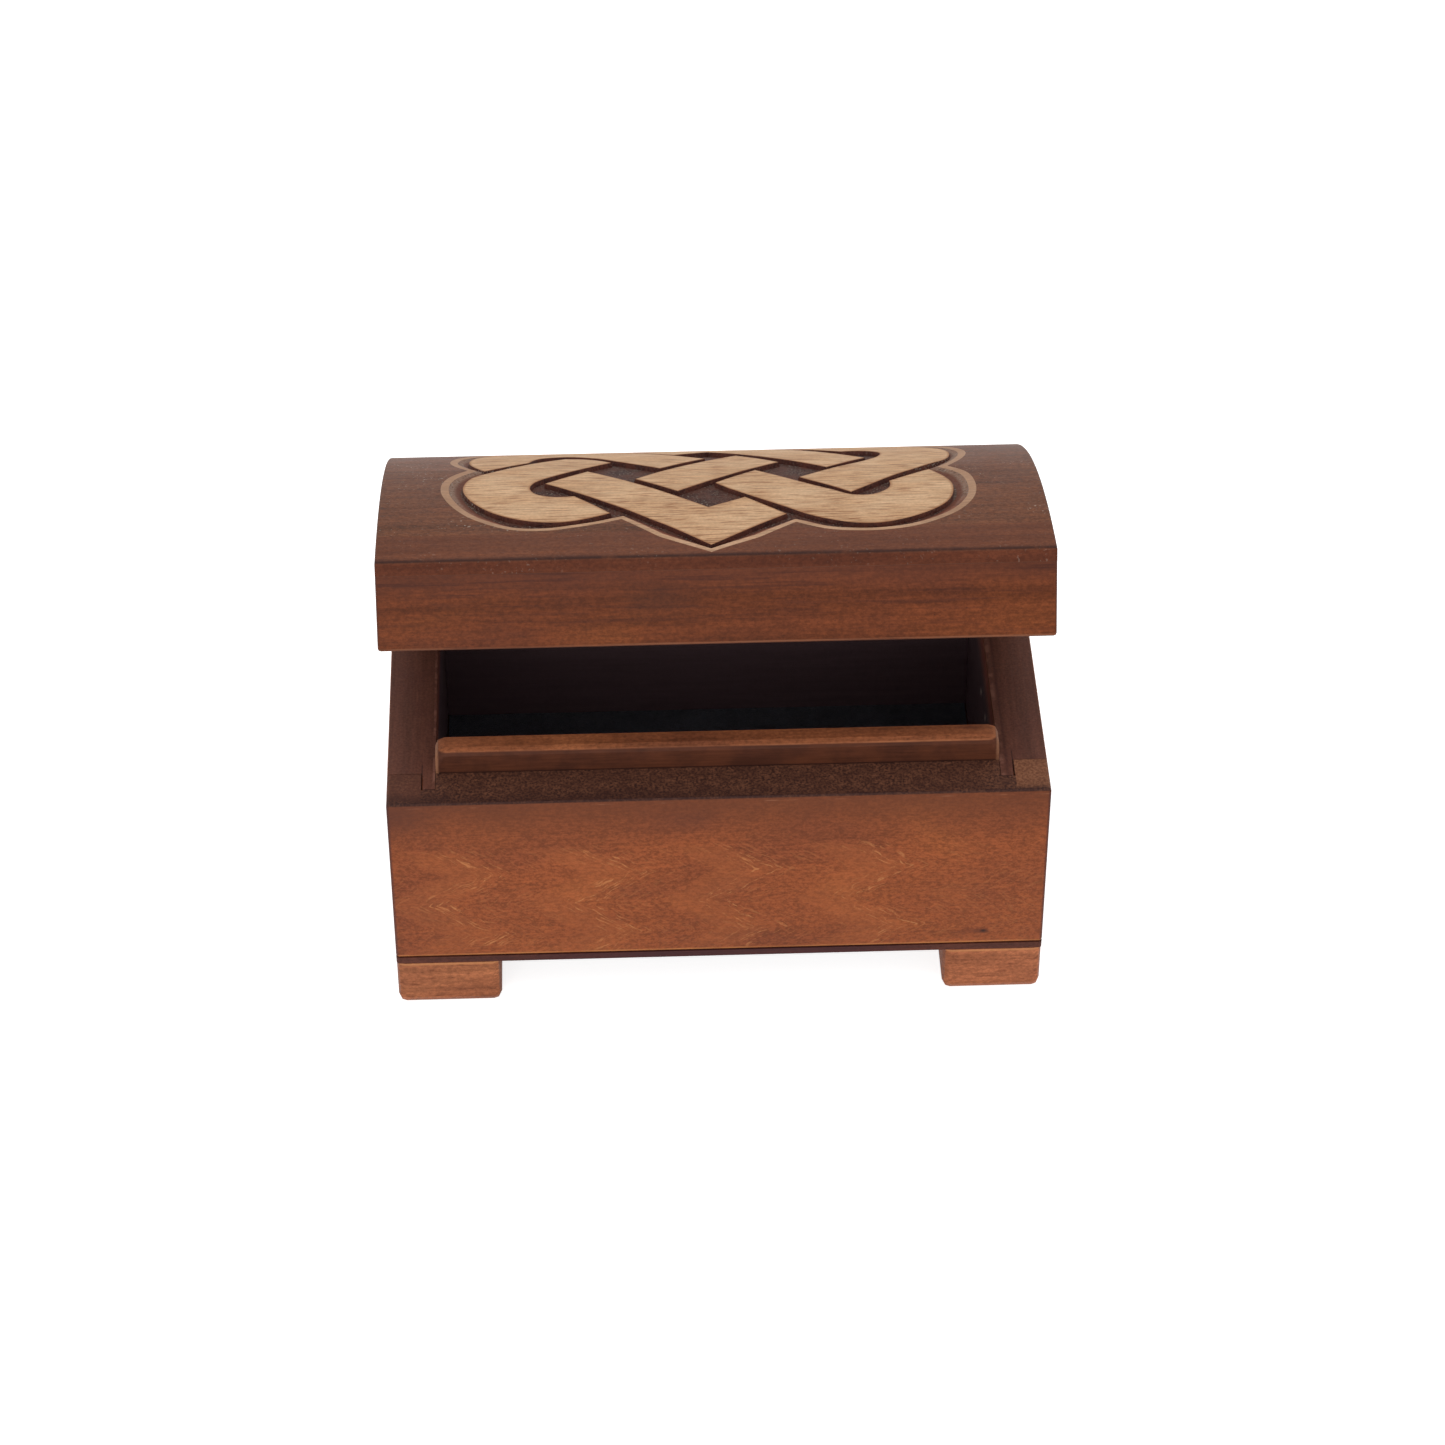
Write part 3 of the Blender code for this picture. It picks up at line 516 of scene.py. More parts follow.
def flat_sheet(outline):
    """A mesh with one face in the plan, whose corners know the way inward and how far a mitre reaches."""
    mesh = bmesh.new()
    inward = mesh.verts.layers.float_vector.new("inward")
    corners = []
    for before, point, after in zip(outline[-1:] + outline[:-1], outline, outline[1:] + outline[:1]):
        first = (point - before).normalized()
        second = (after - point).normalized()
        left = Vector((-first.y - second.y, first.x + second.x)).normalized()
        mitre = left / max(0.5, left.dot(Vector((-first.y, first.x))))
        corner = mesh.verts.new((point.x, point.y, 0))
        corner[inward] = (mitre.x, mitre.y, 0)
        corners.append(corner)
    mesh.faces.new(corners)
    return mesh, inward


def pull_ring(mesh, inward, edges, width, depth, finish):
    """Extrudes a loop of edges, moves it inward by width, which may depend on the way, and down by depth."""
    made = bmesh.ops.extrude_edge_only(mesh, edges=edges)["geom"]
    new = {part for part in made if isinstance(part, bmesh.types.BMVert)}
    for vert in new:
        vert.co += vert[inward] * width(vert[inward]) - Vector((0, 0, depth))
    for part in made:
        if isinstance(part, bmesh.types.BMFace):
            part.material_index = finish
    return [part for part in made if isinstance(part, bmesh.types.BMEdge) and new.issuperset(part.verts)]


def waver(mesh, seed):
    """Lets lines that a hand cut wander a little."""
    for vert in mesh.verts:
        drift = noise.noise_vector(Vector((vert.co.x, vert.co.y, 0)) / WAVER_SIZE + Vector((0, 0, seed)))
        vert.co += Vector((drift.x, drift.y, 0)) * WAVER


def slice_for_bending(mesh):
    """Cuts a flat mesh into narrow strips that can follow the arch."""
    bmesh.ops.triangulate(mesh, faces=mesh.faces)
    count = math.ceil(max(abs(vert.co.y) for vert in mesh.verts) / BEND_STEP)
    for step in range(-count, count + 1):
        everything = mesh.verts[:] + mesh.edges[:] + mesh.faces[:]
        bmesh.ops.bisect_plane(
            mesh, geom=everything, dist=MERGE, plane_co=(0, step * BEND_STEP, 0), plane_no=(0, 1, 0)
        )


class Dome:
    """The arch of the lid's board, as it lies on the closed box."""

    low, high = closed_box("lid_domed_panel")
    middle = (low.y + high.y) / 2
    half_depth = (high.y - low.y) / 2
    crown = high.z - low.z - PANEL_EDGE
    radius = (half_depth**2 + crown**2) / (2 * crown)
    sweep = math.asin(half_depth / radius)
    centre_z = high.z - radius

    @classmethod
    def bend(cls, mesh):
        """Bends a flat mesh over the arch."""
        for vert in mesh.verts:
            x, along, height = vert.co
            reach = cls.radius + height
            turn = along / cls.radius
            vert.co = (x, cls.middle + reach * math.sin(turn), cls.centre_z + reach * math.cos(turn))
        bmesh.ops.recalc_face_normals(mesh, faces=mesh.faces)


def ease_edges(mesh, edges, radius, segments=2):
    bmesh.ops.bevel(
        mesh, geom=edges, affect="EDGES", offset_type="OFFSET", offset=radius, segments=segments,
        profile=0.5, clamp_overlap=True, material=-1,
    )


def stand(name, data):
    """Stands a mesh, a lamp or a camera in the scene."""
    if isinstance(data, bmesh.types.BMesh):
        mesh, data = data, bpy.data.meshes.new(name)
        mesh.to_mesh(data)
        mesh.free()
    stood = bpy.data.objects.new(name, data)
    bpy.context.scene.collection.objects.link(stood)
    return stood


def piece_of(name, mesh, materials, body, nodes=(), opened=False, sharp=28):
    """Makes a finished piece of a mesh: opened with the lid if made closed, shaded, and riding its body."""
    if opened:
        bmesh.ops.transform(mesh, matrix=OPENED, verts=mesh.verts)
    piece = stand(name, mesh)
    for material in materials:
        piece.data.materials.append(material)
    piece.data.shade_smooth()
    piece.data.set_sharp_from_angle(angle=math.radians(sharp))
    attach(piece, body)
    if nodes:
        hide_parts(*nodes)
    return piece


def carve(board, cutter):
    """What is left of a board mesh when a cutter mesh is taken out of it."""
    pair = [stand("board", board), stand("cutter", cutter)]
    cut = pair[0].modifiers.new("cut", "BOOLEAN")
    cut.operation = "DIFFERENCE"
    cut.solver = "EXACT"
    cut.object = pair[1]
    bpy.context.view_layer.update()
    result = bmesh.new()
    result.from_object(pair[0], bpy.context.evaluated_depsgraph_get())
    for used in pair:
        data = used.data
        bpy.data.objects.remove(used)
        bpy.data.meshes.remove(data)
    return result


def sweep(mesh, faces, way):
    """Draws faces out into a solid."""
    made = bmesh.ops.extrude_face_region(mesh, geom=faces)["geom"]
    moved = [part for part in made if isinstance(part, bmesh.types.BMVert)]
    bmesh.ops.translate(mesh, vec=way, verts=moved)


def domed_board():
    """The lid's board before it is carved, closed, with worn arrises."""
    low, high = Dome.low, Dome.high
    mesh = bmesh.new()
    shoulder = mesh.verts.new((low.x, low.y, low.z + PANEL_EDGE))
    bmesh.ops.spin(
        mesh, geom=[shoulder], cent=(low.x, Dome.middle, Dome.centre_z), axis=(-1, 0, 0),
        angle=2 * Dome.sweep, steps=DOME_STEPS,
    )
    arch = sorted(mesh.verts, key=lambda vert: vert.co.y)
    base = [mesh.verts.new((low.x, y, low.z - GLUE_LINE)) for y in (high.y, low.y)]
    sweep(mesh, [mesh.faces.new(arch + base)], (high.x - low.x, 0, 0))
    bmesh.ops.recalc_face_normals(mesh, faces=mesh.faces)
    mesh.normal_update()
    above = low.z + PANEL_EDGE / 2
    arrises = [
        edge for edge in mesh.edges
        if edge.calc_face_angle() > math.radians(40) and max(vert.co.z for vert in edge.verts) > above
    ]
    ease_edges(mesh, arrises, ARRIS, 3)
    return mesh


def channel_cutter():
    """What the carver takes out: a pale chamfer, then a dark slope down to the floor under the straps.

    It starts RIM_LIFT above the dome, so that the cut is clean.
    """
    def rim_width(way):
        return RIM_WIDTH + SIDE_RIM_WIDTH * abs(way.x)

    mesh, inward = flat_sheet(drawn_outline(BORDER))
    top_face = mesh.faces[:]
    rim = mesh.edges[:]
    above = RIM_LIFT / RIM_DEPTH
    for vert in mesh.verts:
        way = vert[inward]
        vert.co += Vector((0, 0, RIM_LIFT)) - way * rim_width(way) * above
    chamfer = pull_ring(
        mesh, inward, rim, lambda way: rim_width(way) * (1 + above), RIM_DEPTH + RIM_LIFT, 1
    )
    slope = pull_ring(
        mesh, inward, chamfer, lambda way: SLOPE_WIDTH + SIDE_SLOPE_WIDTH * abs(way.x),
        CARVED_DEPTH - RIM_DEPTH, 2,
    )
    bmesh.ops.edgeloop_fill(mesh, edges=slope, mat_nr=3)
    sweep(mesh, top_face, (0, 0, CUTTER_STAND))
    bmesh.ops.delete(mesh, geom=top_face, context="FACES_KEEP_BOUNDARY")
    slice_for_bending(mesh)
    waver(mesh, 0.0)
    Dome.bend(mesh)
    return mesh


def strap(stretches, seed):
    """One flat strap of the knot, standing on the carved floor, its upper edges eased."""
    mesh, inward = flat_sheet(drawn_outline(stretches))
    toasted = mesh.verts.layers.float.new(TOASTED)
    rim = mesh.edges[:]
    outer = mesh.verts[:]
    bmesh.ops.delete(mesh, geom=mesh.faces[:], context="FACES_KEEP_BOUNDARY")
    bmesh.ops.edgeloop_fill(mesh, edges=pull_ring(mesh, inward, rim, lambda way: TOAST_WIDTH, 0, 0))
    for vert in outer:
        vert[toasted] = 1
    foot = pull_ring(mesh, inward, rim, lambda way: -STRAP_FLARE, CARVED_DEPTH + STRAP_SINK, 1)
    bmesh.ops.edgeloop_fill(mesh, edges=foot, mat_nr=1)
    bmesh.ops.recalc_face_normals(mesh, faces=mesh.faces)
    ease_edges(mesh, rim, STRAP_EASE)
    slice_for_bending(mesh)
    waver(mesh, seed)
    Dome.bend(mesh)
    return mesh


def dome_marks(mix, axes, own, colour):
    """The dome's redder front edge, a dark line along its arris, a faint facet behind it, and pale dust,
    thicker towards the back as painted sheen.
    """
    facet = Dome.middle - Dome.radius * math.sin(DOME_FACET / Dome.radius)
    arris = Dome.low.z + PANEL_EDGE
    front = mix.grade(axes[1], facet - 0.4 * MM, facet + 0.4 * MM, 0.3, 0.0)
    colour = mix.lay(colour, front, (108, 56, 38))
    edge = mix.grade(axes[2], arris - 0.5 * MM, arris - 0.1 * MM, 1.0, 0.0)
    colour = mix.tint(edge, colour, display(232, 214, 208), "MULTIPLY")
    wander = mix.noise(own, 7 * MM, rough=0.6)
    line = mix.both(mix.near(axes[2], arris + 0.05 * MM, 0.42 * MM), mix.grade(wander, 0.3, 0.5, 0.4, 1.0))
    colour = mix.lay(colour, line, (42, 22, 20), 0.85)
    # Pale dust specks, laid thicker towards the back, where they also stand for painted sheen.
    dust = mix.both(
        mix.grade(mix.noise(own, 0.6 * MM, detail=1), 0.66, 0.74),
        mix.grade(mix.noise(own, 10 * MM, detail=2), 0.44, 0.62, 0.1, 1.0),
    )
    dust = mix.both(dust, mix.grade(axes[1], facet - 3 * MM, facet + 4 * MM, 0.25, 1.0))
    colour = mix.lay(colour, dust, (180, 164, 150), 0.6)
    under = mix.grade(axes[2], Dome.low.z - 0.08 * MM, Dome.low.z, 1.0, 0.0)
    return mix.tint(under, colour, grained(mix, own, LID_INSIDE_TONE, 0.24))


def carved_lid():
    """The domed board with its knot."""
    stain = stained_wood(
        "dome_stain", (Dome.low, Dome.high), ((102, 61, 40), (90, 52, 35), (114, 71, 46)),
        on_lid=True, seed=0.31, streaky=0.45, rough=0.3, worn=0.12, extra=dome_marks,
    )
    pale = bare_wood(
        "outline_wood", ((180, 141, 110), (138, 102, 80), (196, 158, 128)), seed=0.2, stroke=0.4, dull=0.42
    )
    slope = scorched_wood("scorched_slope", (132, 79, 57), (106, 60, 46), (134, 108, 92), 0.8, deep=0.85)
    floor = scorched_wood("scorched_floor", (82, 51, 42), (58, 36, 31), (102, 80, 68), 0.5, specked=0.6)
    wall = scorched_wood("scorched_wall", (88, 49, 39), (66, 36, 31), (112, 76, 60), 0.1)
    board = carve(domed_board(), channel_cutter())
    piece_of(
        "carved_domed_board", board, (stain, pale, slope, floor), "lid", ("lid_domed_panel",),
        opened=True, sharp=14,
    )
    bare = bare_wood("strap_wood", ((196, 156, 119), (138, 92, 62), (208, 172, 136)))
    for number, (name, stretches) in enumerate(STRAPS.items()):
        piece_of(
            f"{name}_strap", strap(stretches, 3.1 * (number + 1)), (bare, wall), "lid",
            opened=True, sharp=24,
        )


def camera():
    """The camera where the photographer's was."""
    data = bpy.data.cameras.new("camera")
    data.lens = CAMERA_LENS
    data.sensor_width = 36
    data.clip_start = 0.01
    seer = stand("camera", data)
    turned = Matrix.Rotation(-CAMERA_YAW, 4, "Z") @ Matrix.Rotation(math.pi / 2 - CAMERA_PITCH, 4, "X")
    rolled = Matrix.Rotation(CAMERA_ROLL, 4, "Z")
    seer.matrix_world = Matrix.Translation(CAMERA_PLACE) @ turned @ rolled
    bpy.context.scene.camera = seer


def seen_share(mix):
    """1 where a ray comes from the camera, a reflection or through glass."""
    path = mix.step("ShaderNodeLightPath", {}).outputs
    share = mix.sum("MAXIMUM", path["Is Camera Ray"], path["Is Glossy Ray"])
    return mix.sum("MAXIMUM", share, path["Is Transmission Ray"])


def studio():
    """A pale floor, a white surround and soft lamps."""
    mix = Recipe("white_surround", bpy.data.worlds)
    strength = mix.step("ShaderNodeMapRange", {"Value": seen_share(mix), "To Min": 0.66, "To Max": 1.0})
    bpy.context.scene.world = mix.set(Color=(1, 1, 1, 1), Strength=strength.outputs["Result"])

    mesh = bmesh.new()
    bmesh.ops.create_grid(mesh, x_segments=1, y_segments=1, size=3)
    floor = stand("studio_floor", mesh)
    mix = Recipe("white_paper")
    glow = mix.sum("MULTIPLY", seen_share(mix), 0.8)
    floor.data.materials.append(mix.done(
        (0.86, 0.86, 0.86, 1), 1, Specular_IOR_Level=0, Emission_Color=(1, 1, 1, 1), Emission_Strength=glow
    ))

    lamps = (
        ("overhead_lamp", (0.0, -0.10, 0.95), 0.9, 3.2),
        ("front_lamp", (-0.30, -0.95, 0.28), 0.5, 2.0),
    )
    for name, place, size, power in lamps:
        light = bpy.data.lights.new(name, "AREA")
        light.shape = "SQUARE"
        light.size = size
        light.energy = power
        lamp = stand(name, light)
        lamp.location = place
        lamp.rotation_euler = (-Vector(place)).to_track_quat("-Z", "Y").to_euler()


def inner_share(mix, axes, side, box):
    """1 on a board's inner face."""
    low, high = box
    axis = 1 if side in ("front", "back") else 0
    return mix.near(axes[axis], high[axis] if side in ("front", "left") else low[axis], 0.35 * MM)


def along_board(side):
    """How a pattern is drawn out along one of the four sides."""
    return (0.05, 1, 1) if side in ("front", "back") else (1, 0.05, 1)


def body_marks(side, box):
    """What one side of the box has of its own: its rim, its dark inside and, in front, the wood's figure."""
    foot, rim = box[0][2], box[1][2]

    def extra(mix, axes, own, colour):
        if side == "front":
            colour = front_figure(mix, axes, own, colour, rim, foot)
        drift = mix.noise(own, 9 * MM, rough=0.6)
        top = rim_marks(mix, axes, own, side, box, drift)
        colour = mix.tint(mix.grade(axes[2], rim - 0.4 * MM, rim - 0.12 * MM), colour, top)
        share = mix.both(
            inner_share(mix, axes, side, box), mix.grade(axes[2], rim - 1.3 * MM, rim - 0.9 * MM, 1.0, 0.0)
        )
        return mix.tint(share, colour, inside_marks(mix, axes, own, side, rim, drift))

    return extra


def rim_marks(mix, axes, own, side, box, drift):
    """A board's rim: granular in front and at the back, finely grained on the two sides."""
    grit = mix.noise(own, 0.5 * MM, rough=0.7)
    plain = grained(mix, own, (96, 58, 46), 0.2, along_board(side))
    if side in ("left", "right"):
        top = mix.lay(plain, mix.grade(drift, 0.4, 0.65, 0.0, 0.35), (84, 48, 41))
        return side_rim(mix, axes, own, side, box, mix.vary(top, grit, 0.34, 0.66, 0.84, 1.16))
    top = mix.tint(mix.grade(grit, 0.36, 0.66), display(56, 33, 28), display(116, 75, 56))
    clouds = mix.noise(own, 2.4 * MM, rough=0.6)
    top = mix.lay(top, mix.grade(clouds, 0.4, 0.65, 0.0, 0.5), (70, 42, 34))
    return top if side == "back" else front_rim(mix, axes, box[0][1], top, plain, drift, grit)


def front_rim(mix, axes, face, top, plain, drift, grit):
    """The front rim's blocks beyond the tongues, the right one tan, its dark front edge and joint lines."""
    x, y = axes[0], axes[1]
    away = mix.sum("ABSOLUTE", x)
    tan = mix.tint(mix.grade(grit, 0.34, 0.68), display(112, 69, 49), display(146, 98, 71))
    tan = mix.tint(mix.grade(x, -1 * MM, 1 * MM), plain, tan)
    block = mix.both(
        mix.grade(away, TONGUE[0] + 0.1 * MM, TONGUE[0] + 0.3 * MM),
        mix.grade(mix.sum("MULTIPLY_ADD", drift, 2 * MM, y), face + 1.6 * MM, face + 3.2 * MM),
    )
    top = mix.tint(mix.both(block, mix.grade(x, -1 * MM, 1 * MM, 0.55, 0.88)), top, tan)
    shade = mix.sum("MULTIPLY_ADD", drift, 6 * MM, y)
    shade = mix.grade(shade, face + 4.5 * MM, face + 7.5 * MM, 1.0, 0.0)
    top = mix.lay(top, mix.both(shade, mix.grade(x, -30 * MM, 30 * MM, 0.5, 0.2)), (46, 26, 25))
    arris = mix.both(mix.near(y, face + 0.5 * MM, 0.7 * MM), mix.grade(drift, 0.35, 0.6, 0.1, 0.9))
    top = mix.lay(top, mix.both(arris, mix.grade(x, -50 * MM, 10 * MM, 0.35, 0.7)), (46, 25, 25))
    joint = mix.both(
        mix.near(away, TONGUE[0], JOINT_LINE), mix.grade(y, TONGUE[1] - 0.1 * MM, TONGUE[1] + 0.1 * MM)
    )
    return mix.lay(top, joint, JOINT_TONE, 0.75)


def side_rim(mix, axes, own, side, box, top):
    """A side rim's worn inner edge, roughest on the right, and the lines round its tongue."""
    away = mix.sum("ABSOLUTE", axes[0])
    outward = mix.sum("SUBTRACT", away, abs(box[1][0] if side == "left" else box[0][0]))
    chips = mix.grade(mix.noise(own, 2.6 * MM, rough=0.6), 0.44, 0.62, 0.1, 0.8)
    reach = 1.3 * MM if side == "right" else 0.6 * MM
    top = mix.lay(top, mix.both(mix.grade(outward, reach, 0.4 * MM), chips), (128, 86, 72))
    if side == "right":
        top = mix.lay(top, mix.near(outward, 1.35 * MM, 0.45 * MM), (50, 26, 26), 0.4)
    joint = mix.sum(
        "MAXIMUM", mix.near(away, TONGUE[0], JOINT_LINE), mix.near(axes[1], TONGUE[1], JOINT_LINE)
    )
    joint = mix.both(joint, mix.grade(axes[1], box[0][1] + 7 * MM, box[0][1] + 8 * MM, 1.0, 0.0))
    return mix.lay(top, joint, JOINT_TONE, 0.75)


def inside_marks(mix, axes, own, side, rim, drift):
    """A board's dark inside, lighter and redder towards the rim on the two sides, partly wood and partly
    painted light, with two pale chips on the right.
    """
    grain = along_board(side)
    inside = grained(mix, own, INSIDE_TONE, 0.1, grain)
    if side in ("left", "right"):
        # Lighter and redder towards the rim: the wood's colour there, and painted light where light falls in
        # over the rim.
        depth = mix.sum("MULTIPLY_ADD", drift, 4 * MM, axes[2])
        depth = mix.grade(depth, rim - 9 * MM, rim - 1 * MM, 0.0, 0.9)
        inside = mix.tint(depth, inside, grained(mix, own, (158, 96, 80), 0.25, grain))
    if side == "right":
        for y, z in ((1.4 * MM, rim - 14 * MM), (-8 * MM, rim - 13 * MM)):
            chip = mix.both(mix.near(axes[1], y, 1.3 * MM), mix.near(axes[2], z, 1.4 * MM))
            inside = mix.lay(inside, chip, (244, 226, 214))
    return inside


def front_figure(mix, axes, own, colour, rim, foot):
    """The front's look: painted shade at its top and side arrises, dark patches, figure, a small knot, and
    worn edges with a painted highlight on the lower one.
    """
    x, y, z = axes
    drift = mix.noise(own, 10 * MM, rough=0.55)
    wander = mix.noise(own, 6 * MM, rough=0.55)
    # Painted shade: the front darkens towards its top.
    painted_top_shade = mix.grade(mix.sum("MULTIPLY_ADD", drift, 6 * MM, z), rim - 12 * MM, rim + 3 * MM, 0.0, 0.75)
    colour = mix.lay(colour, painted_top_shade, (98, 55, 37))
    for place, reach, share in (
        ((-9 * MM, rim - 5.5 * MM), (12 * MM, 4.5 * MM), 0.35),
        ((-64 * MM, rim - 3 * MM), (13 * MM, 8 * MM), 0.45),
        ((-18 * MM, rim - 24 * MM), (9 * MM, 4 * MM), 0.22),
        ((1.5 * MM, rim - 23 * MM), (8 * MM, 4 * MM), 0.26),
        ((-52 * MM, rim - 21 * MM), (6 * MM, 5 * MM), 0.12),
        ((5 * MM, foot + 4 * MM), (12 * MM, 3 * MM), 0.2),
    ):
        patch = mix.both(mix.spot(axes, place, reach), mix.grade(drift, 0.25, 0.6, 0.5, 1.0))
        colour = mix.lay(colour, patch, (78, 46, 40), share)
    colour = zigzags(mix, axes, own, colour, rim, foot, drift, wander)

    streak = mix.both(mix.near(z, foot + 3.5 * MM, 1.3 * MM), mix.grade(x, 53 * MM, 55 * MM, 1.0, 0.0))
    colour = mix.lay(colour, mix.both(mix.grade(x, 41 * MM, 53 * MM), streak), (74, 38, 30), 0.45)
    knot = mix.spot(axes, (53 * MM, foot + 3.4 * MM), (1.5 * MM, 0.7 * MM))
    colour = mix.lay(colour, knot, (34, 20, 20), 0.9)
    # Wear along the lower arris, lightened further as a painted highlight.
    worn = mix.both(mix.near(z, foot + 0.45 * MM, 0.5 * MM), mix.grade(drift, 0.3, 0.6, 0.4, 0.9))
    colour = mix.lay(colour, worn, (198, 128, 76))
    chipped = mix.both(mix.near(z, rim - 0.8 * MM, 0.3 * MM), mix.grade(wander, 0.5, 0.7, 0.0, 0.4))
    colour = mix.lay(colour, chipped, (160, 104, 76))
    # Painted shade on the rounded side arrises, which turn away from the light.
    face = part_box("front_board")[0][1]
    sides = mix.both(
        mix.grade(mix.sum("ABSOLUTE", x), 64.2 * MM, 64.8 * MM, 0.0, 0.6),
        mix.grade(y, face + 0.3 * MM, face + 1.6 * MM, 1.0, 0.2),
    )
    return mix.lay(colour, sides, (62, 34, 36))


def zigzags(mix, axes, own, colour, rim, foot, drift, wander):
    """The front's figure: broken pale strokes along folded bands, with a warm glow beside them."""
    x, z = axes[0], axes[2]
    fold = mix.sum("PINGPONG", mix.sum("SUBTRACT", rim - 18.8 * MM, z), 8 * MM)
    bent = mix.sum("MULTIPLY_ADD", fold, 1.4, mix.sum("ADD", x, 44.4 * MM))
    bent = mix.sum("MULTIPLY_ADD", wander, 5 * MM, bent)
    phase = mix.sum("FRACT", mix.sum("MULTIPLY_ADD", bent, 1 / (27 * MM), 0.41))
    broken = mix.grade(mix.noise(own, 2.2 * MM, rough=0.7), 0.4, 0.58)
    height = mix.both(
        mix.within(z, foot + 2.5 * MM, rim - 14 * MM, 3 * MM), mix.grade(x, 40 * MM, 56 * MM, 1.0, 0.0)
    )
    along = mix.step("ShaderNodeCombineXYZ", {"X": bent, "Z": mix.sum("MULTIPLY", z, 0.25)})
    dashes = mix.grade(mix.noise(along.outputs["Vector"], 0.75 * MM, detail=2), 0.54, 0.64)
    crests = mix.both(mix.within(phase, 0.42, 0.56, 0.16), mix.both(broken, height))
    colour = mix.lay(colour, mix.both(dashes, crests), (200, 134, 84), 0.65)
    below = mix.grade(z, rim - 16 * MM, rim - 6 * MM, 1.0, 0.0)
    lower = mix.both(mix.grade(drift, 0.4, 0.6, 0.06, 0.2), below)
    colour = mix.lay(colour, mix.both(dashes, lower), (186, 116, 70))
    return mix.lay(colour, mix.both(mix.within(phase, 0.2, 0.46, 0.15), height), (176, 100, 58), 0.24)


def lid_marks(side, box):
    """A lid board's dark inside and rim, and the front one's fine, dark grain and worn lower edge."""
    low, high = box

    def extra(mix, axes, own, colour):
        z = axes[2]
        if side == "front":
            fine = mix.noise(mix.turned(own, scale=(0.03, 1, 1)), 0.9 * MM, detail=4, rough=0.65)
            upper = mix.grade(z, high[2] - 6 * MM, high[2] - 0.5 * MM, 0.0, 0.5)
            colour = mix.lay(colour, upper, (84, 48, 38))
            drawn = mix.both(mix.grade(fine, 0.52, 0.66), mix.grade(z, low[2], high[2], 0.25, 0.75))
            colour = mix.lay(colour, drawn, (64, 34, 28), 0.75)
            patch = mix.spot(axes, (-11 * MM, low[2] + 9 * MM), (12 * MM, 5 * MM))
            colour = mix.lay(colour, patch, (66, 40, 32), 0.45)
            worn = mix.grade(fine, 0.35, 0.6, 0.05, 0.55)
            worn = mix.both(mix.near(z, low[2] + 0.4 * MM, 0.35 * MM), worn)
            colour = mix.lay(colour, worn, (158, 104, 74))
            left = mix.grade(axes[0], -60 * MM, 20 * MM, 0.12, 0.0)
            colour = mix.lay(colour, left, (62, 34, 28))
        rim = mix.grade(z, low[2] + 0.12 * MM, low[2] + 0.4 * MM, 1.0, 0.0)
        colour = mix.lay(colour, rim, (92, 58, 44), 0.7)
        inside = mix.both(
            inner_share(mix, axes, side, box), mix.grade(z, low[2] + 0.9 * MM, low[2] + 1.3 * MM)
        )
        return mix.tint(inside, colour, grained(mix, own, LID_INSIDE_TONE, 0.24, along_board(side)))

    return extra


def strip_marks(mix, axes, own, colour):
    """The strip's front in painted shade, its orange top with painted shade towards its back, and its pale
    worn ends.
    """
    low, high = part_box("locating_strip")
    x, y, z = axes
    drift = mix.noise(own, 8 * MM, rough=0.6)
    # Painted shade: the front face below the top is laid in a darker copy of the strip's wood.
    front = mix.grade(z, high[2] - 0.75 * MM, high[2] - 0.35 * MM, 1.0, 0.0)
    dark = mix.tint(mix.grade(drift, 0.35, 0.65), display(92, 51, 34), display(76, 42, 30))
    fine = mix.noise(mix.turned(own, scale=(0.05, 1, 1)), 0.5 * MM, rough=0.6)
    dark = mix.vary(dark, fine, 0.3, 0.7, 0.85, 1.15)
    colour = mix.tint(front, colour, dark)
    # Painted shade: the top darkens towards its back in the same tone.
    behind = mix.sum("MULTIPLY_ADD", fine, 1.6 * MM, y)
    behind = mix.grade(behind, low[1] + 1.5 * MM, low[1] + 3.8 * MM, 0.0, 0.12)
    above = mix.grade(z, high[2] - 0.5 * MM, high[2] - 0.3 * MM)
    colour = mix.tint(mix.both(behind, above), colour, dark)
    line = mix.both(mix.near(z, high[2] - 0.5 * MM, 0.28 * MM), mix.grade(x, -10 * MM, 40 * MM, 0.1, 0.5))
    line = mix.both(line, mix.grade(drift, 0.35, 0.6, 0.1, 1.0))
    colour = mix.lay(colour, line, (190, 120, 80))
    below = mix.near(z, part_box("front_board")[1][2] + 0.1 * MM, 0.3 * MM)
    colour = mix.lay(colour, below, (34, 18, 18), 0.7)
    worn = mix.both(
        mix.grade(mix.sum("ABSOLUTE", x), high[0] - 0.8 * MM, high[0] - 0.3 * MM),
        mix.grade(drift, 0.3, 0.55, 0.3, 0.9),
    )
    colour = mix.lay(colour, worn, (148, 102, 76))
    back = mix.both(
        mix.near(y, high[1], 0.3 * MM), mix.grade(z, high[2] - 2 * MM, high[2] - 1 * MM, 1.0, 0.0)
    )
    colour = mix.lay(colour, back, INSIDE_TONE)
    knot = mix.both(mix.near(x, 50 * MM, 4 * MM), mix.near(y, high[1] - 0.8 * MM, 1.2 * MM))
    return mix.lay(colour, knot, (70, 32, 26), 0.6)


